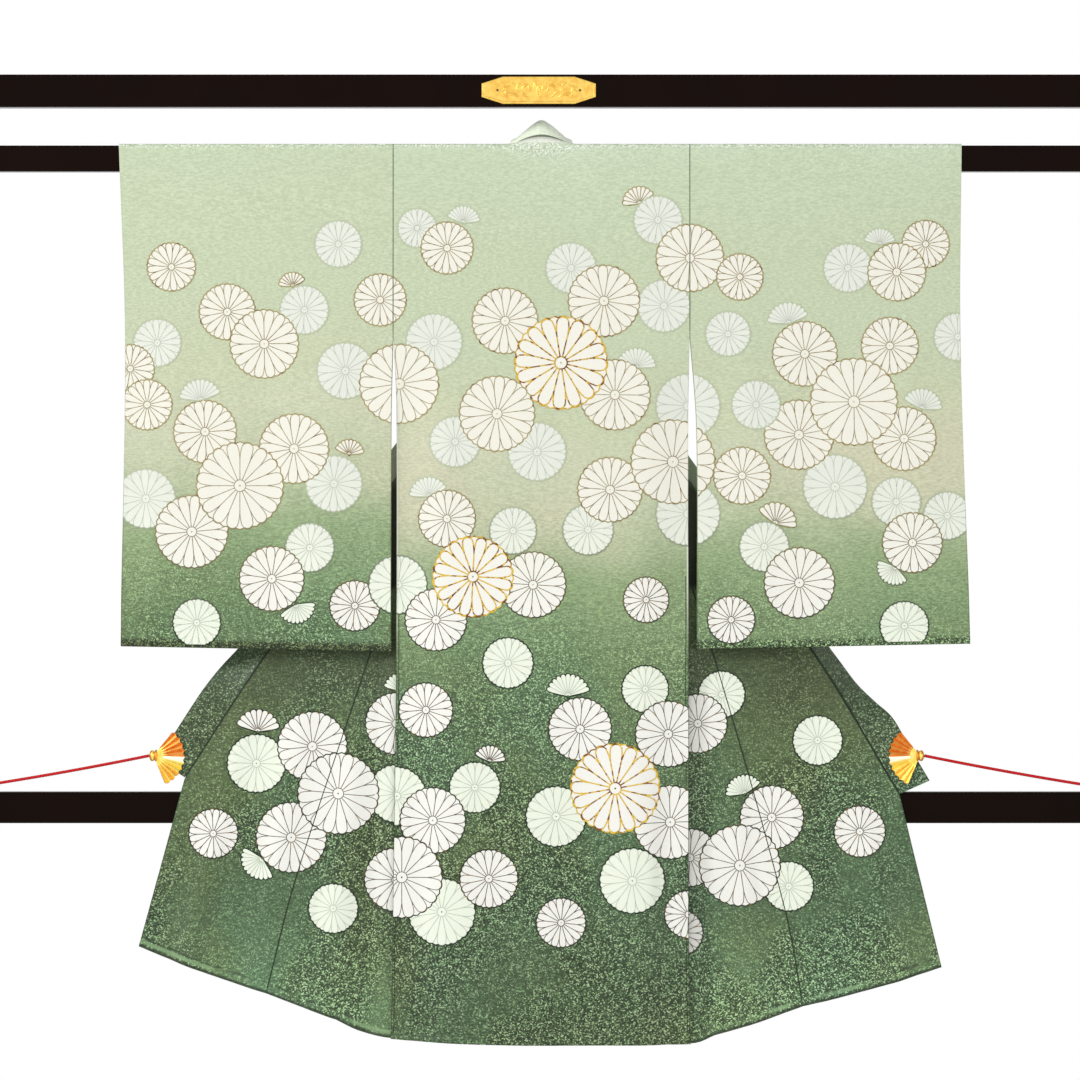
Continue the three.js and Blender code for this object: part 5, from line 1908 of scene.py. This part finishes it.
def okumi_width(side, cut):
    out, drop = outer_edge(side, cut)
    return math.hypot(out - front_edge(side, cut), drop - edge_drop(side, cut))


def declare_side(side):
    widths = [front_width(side, cut) for cut in np.linspace(0, HEM, 60)]
    cut_area(lambda cut: front_width(side, cut), 0)
    okumi_width(side, HEM) * MM
    cut_area(lambda cut: okumi_width(side, cut), OKUMI_TOP)


for one_side in SIDES:
    declare_side(one_side)


# Light, world and floor. Places are in metres, and power in watts
KEY_LIGHT = {"place": (-3.6, -3.4, 3.6), "size": 2.0, "power": 235}
FILL_LIGHT = {"place": (3.6, -3.4, 1.4), "size": 2.6, "power": 50}
LIT_POINT = (0, 0, 0.9)
# The world's strength by height: full near the level of the eye, weaker above and below
WORLD_FADE = {"From Min": 0.17, "From Max": 0.5, "To Min": 1.0, "To Max": 0.6}
FLOOR_POINTS = 96
FLOOR_RINGS = (600, 1200, 1700, 2300)
FLOOR_DROP = 0.5


def area_light(name, place, size, power):
    data = bpy.data.lights.new(name, "AREA")
    data.shape = "DISK"
    data.size = size
    data.energy = power
    light = bpy.data.objects.new(name, data)
    bpy.context.scene.collection.objects.link(light)
    light.location = place
    light.rotation_euler = (Vector(LIT_POINT) - Vector(place)).to_track_quat("-Z", "Y").to_euler()


def make_world():
    world = bpy.data.worlds.new("studio")
    world.use_nodes = True
    tree = world.node_tree
    height = tree.nodes.new("ShaderNodeSeparateXYZ")
    tree.links.new(tree.nodes.new("ShaderNodeTexCoord").outputs["Generated"], height.inputs[0])
    level = tree.nodes.new("ShaderNodeMath")
    level.operation = "ABSOLUTE"
    tree.links.new(height.outputs["Z"], level.inputs[0])
    fade = tree.nodes.new("ShaderNodeMapRange")
    fade.interpolation_type = "SMOOTHSTEP"
    for name, value in WORLD_FADE.items():
        fade.inputs[name].default_value = value
    tree.links.new(level.outputs[0], fade.inputs["Value"])
    tree.nodes["Background"].inputs["Color"].default_value = (1, 1, 1, 1)
    tree.links.new(fade.outputs[0], tree.nodes["Background"].inputs["Strength"])
    bpy.context.scene.world = world


def make_floor():
    rings = [polar(radius, full_turn(FLOOR_POINTS)) for radius in FLOOR_RINGS]
    points = np.concatenate([np.zeros((1, 2)), *rings])
    flat = np.column_stack([points, np.full(len(points), -FLOOR_DROP)])
    around = grid_faces(len(rings), FLOOR_POINTS, loop_columns=True) + 1
    mesh = bpy.data.meshes.new("studio_floor")
    mesh.from_pydata((flat * MM).tolist(), [], [*disc_faces(FLOOR_POINTS).tolist(), *around.tolist()])
    mesh.materials.append(floor_plaster())
    floor = bpy.data.objects.new("studio_floor", mesh)
    bpy.context.scene.collection.objects.link(floor)


make_world()
area_light("key", **KEY_LIGHT)
area_light("fill", **FILL_LIGHT)
bpy.context.scene.view_settings.view_transform = "Standard"
bpy.context.scene.view_settings.look = "None"
make_floor()
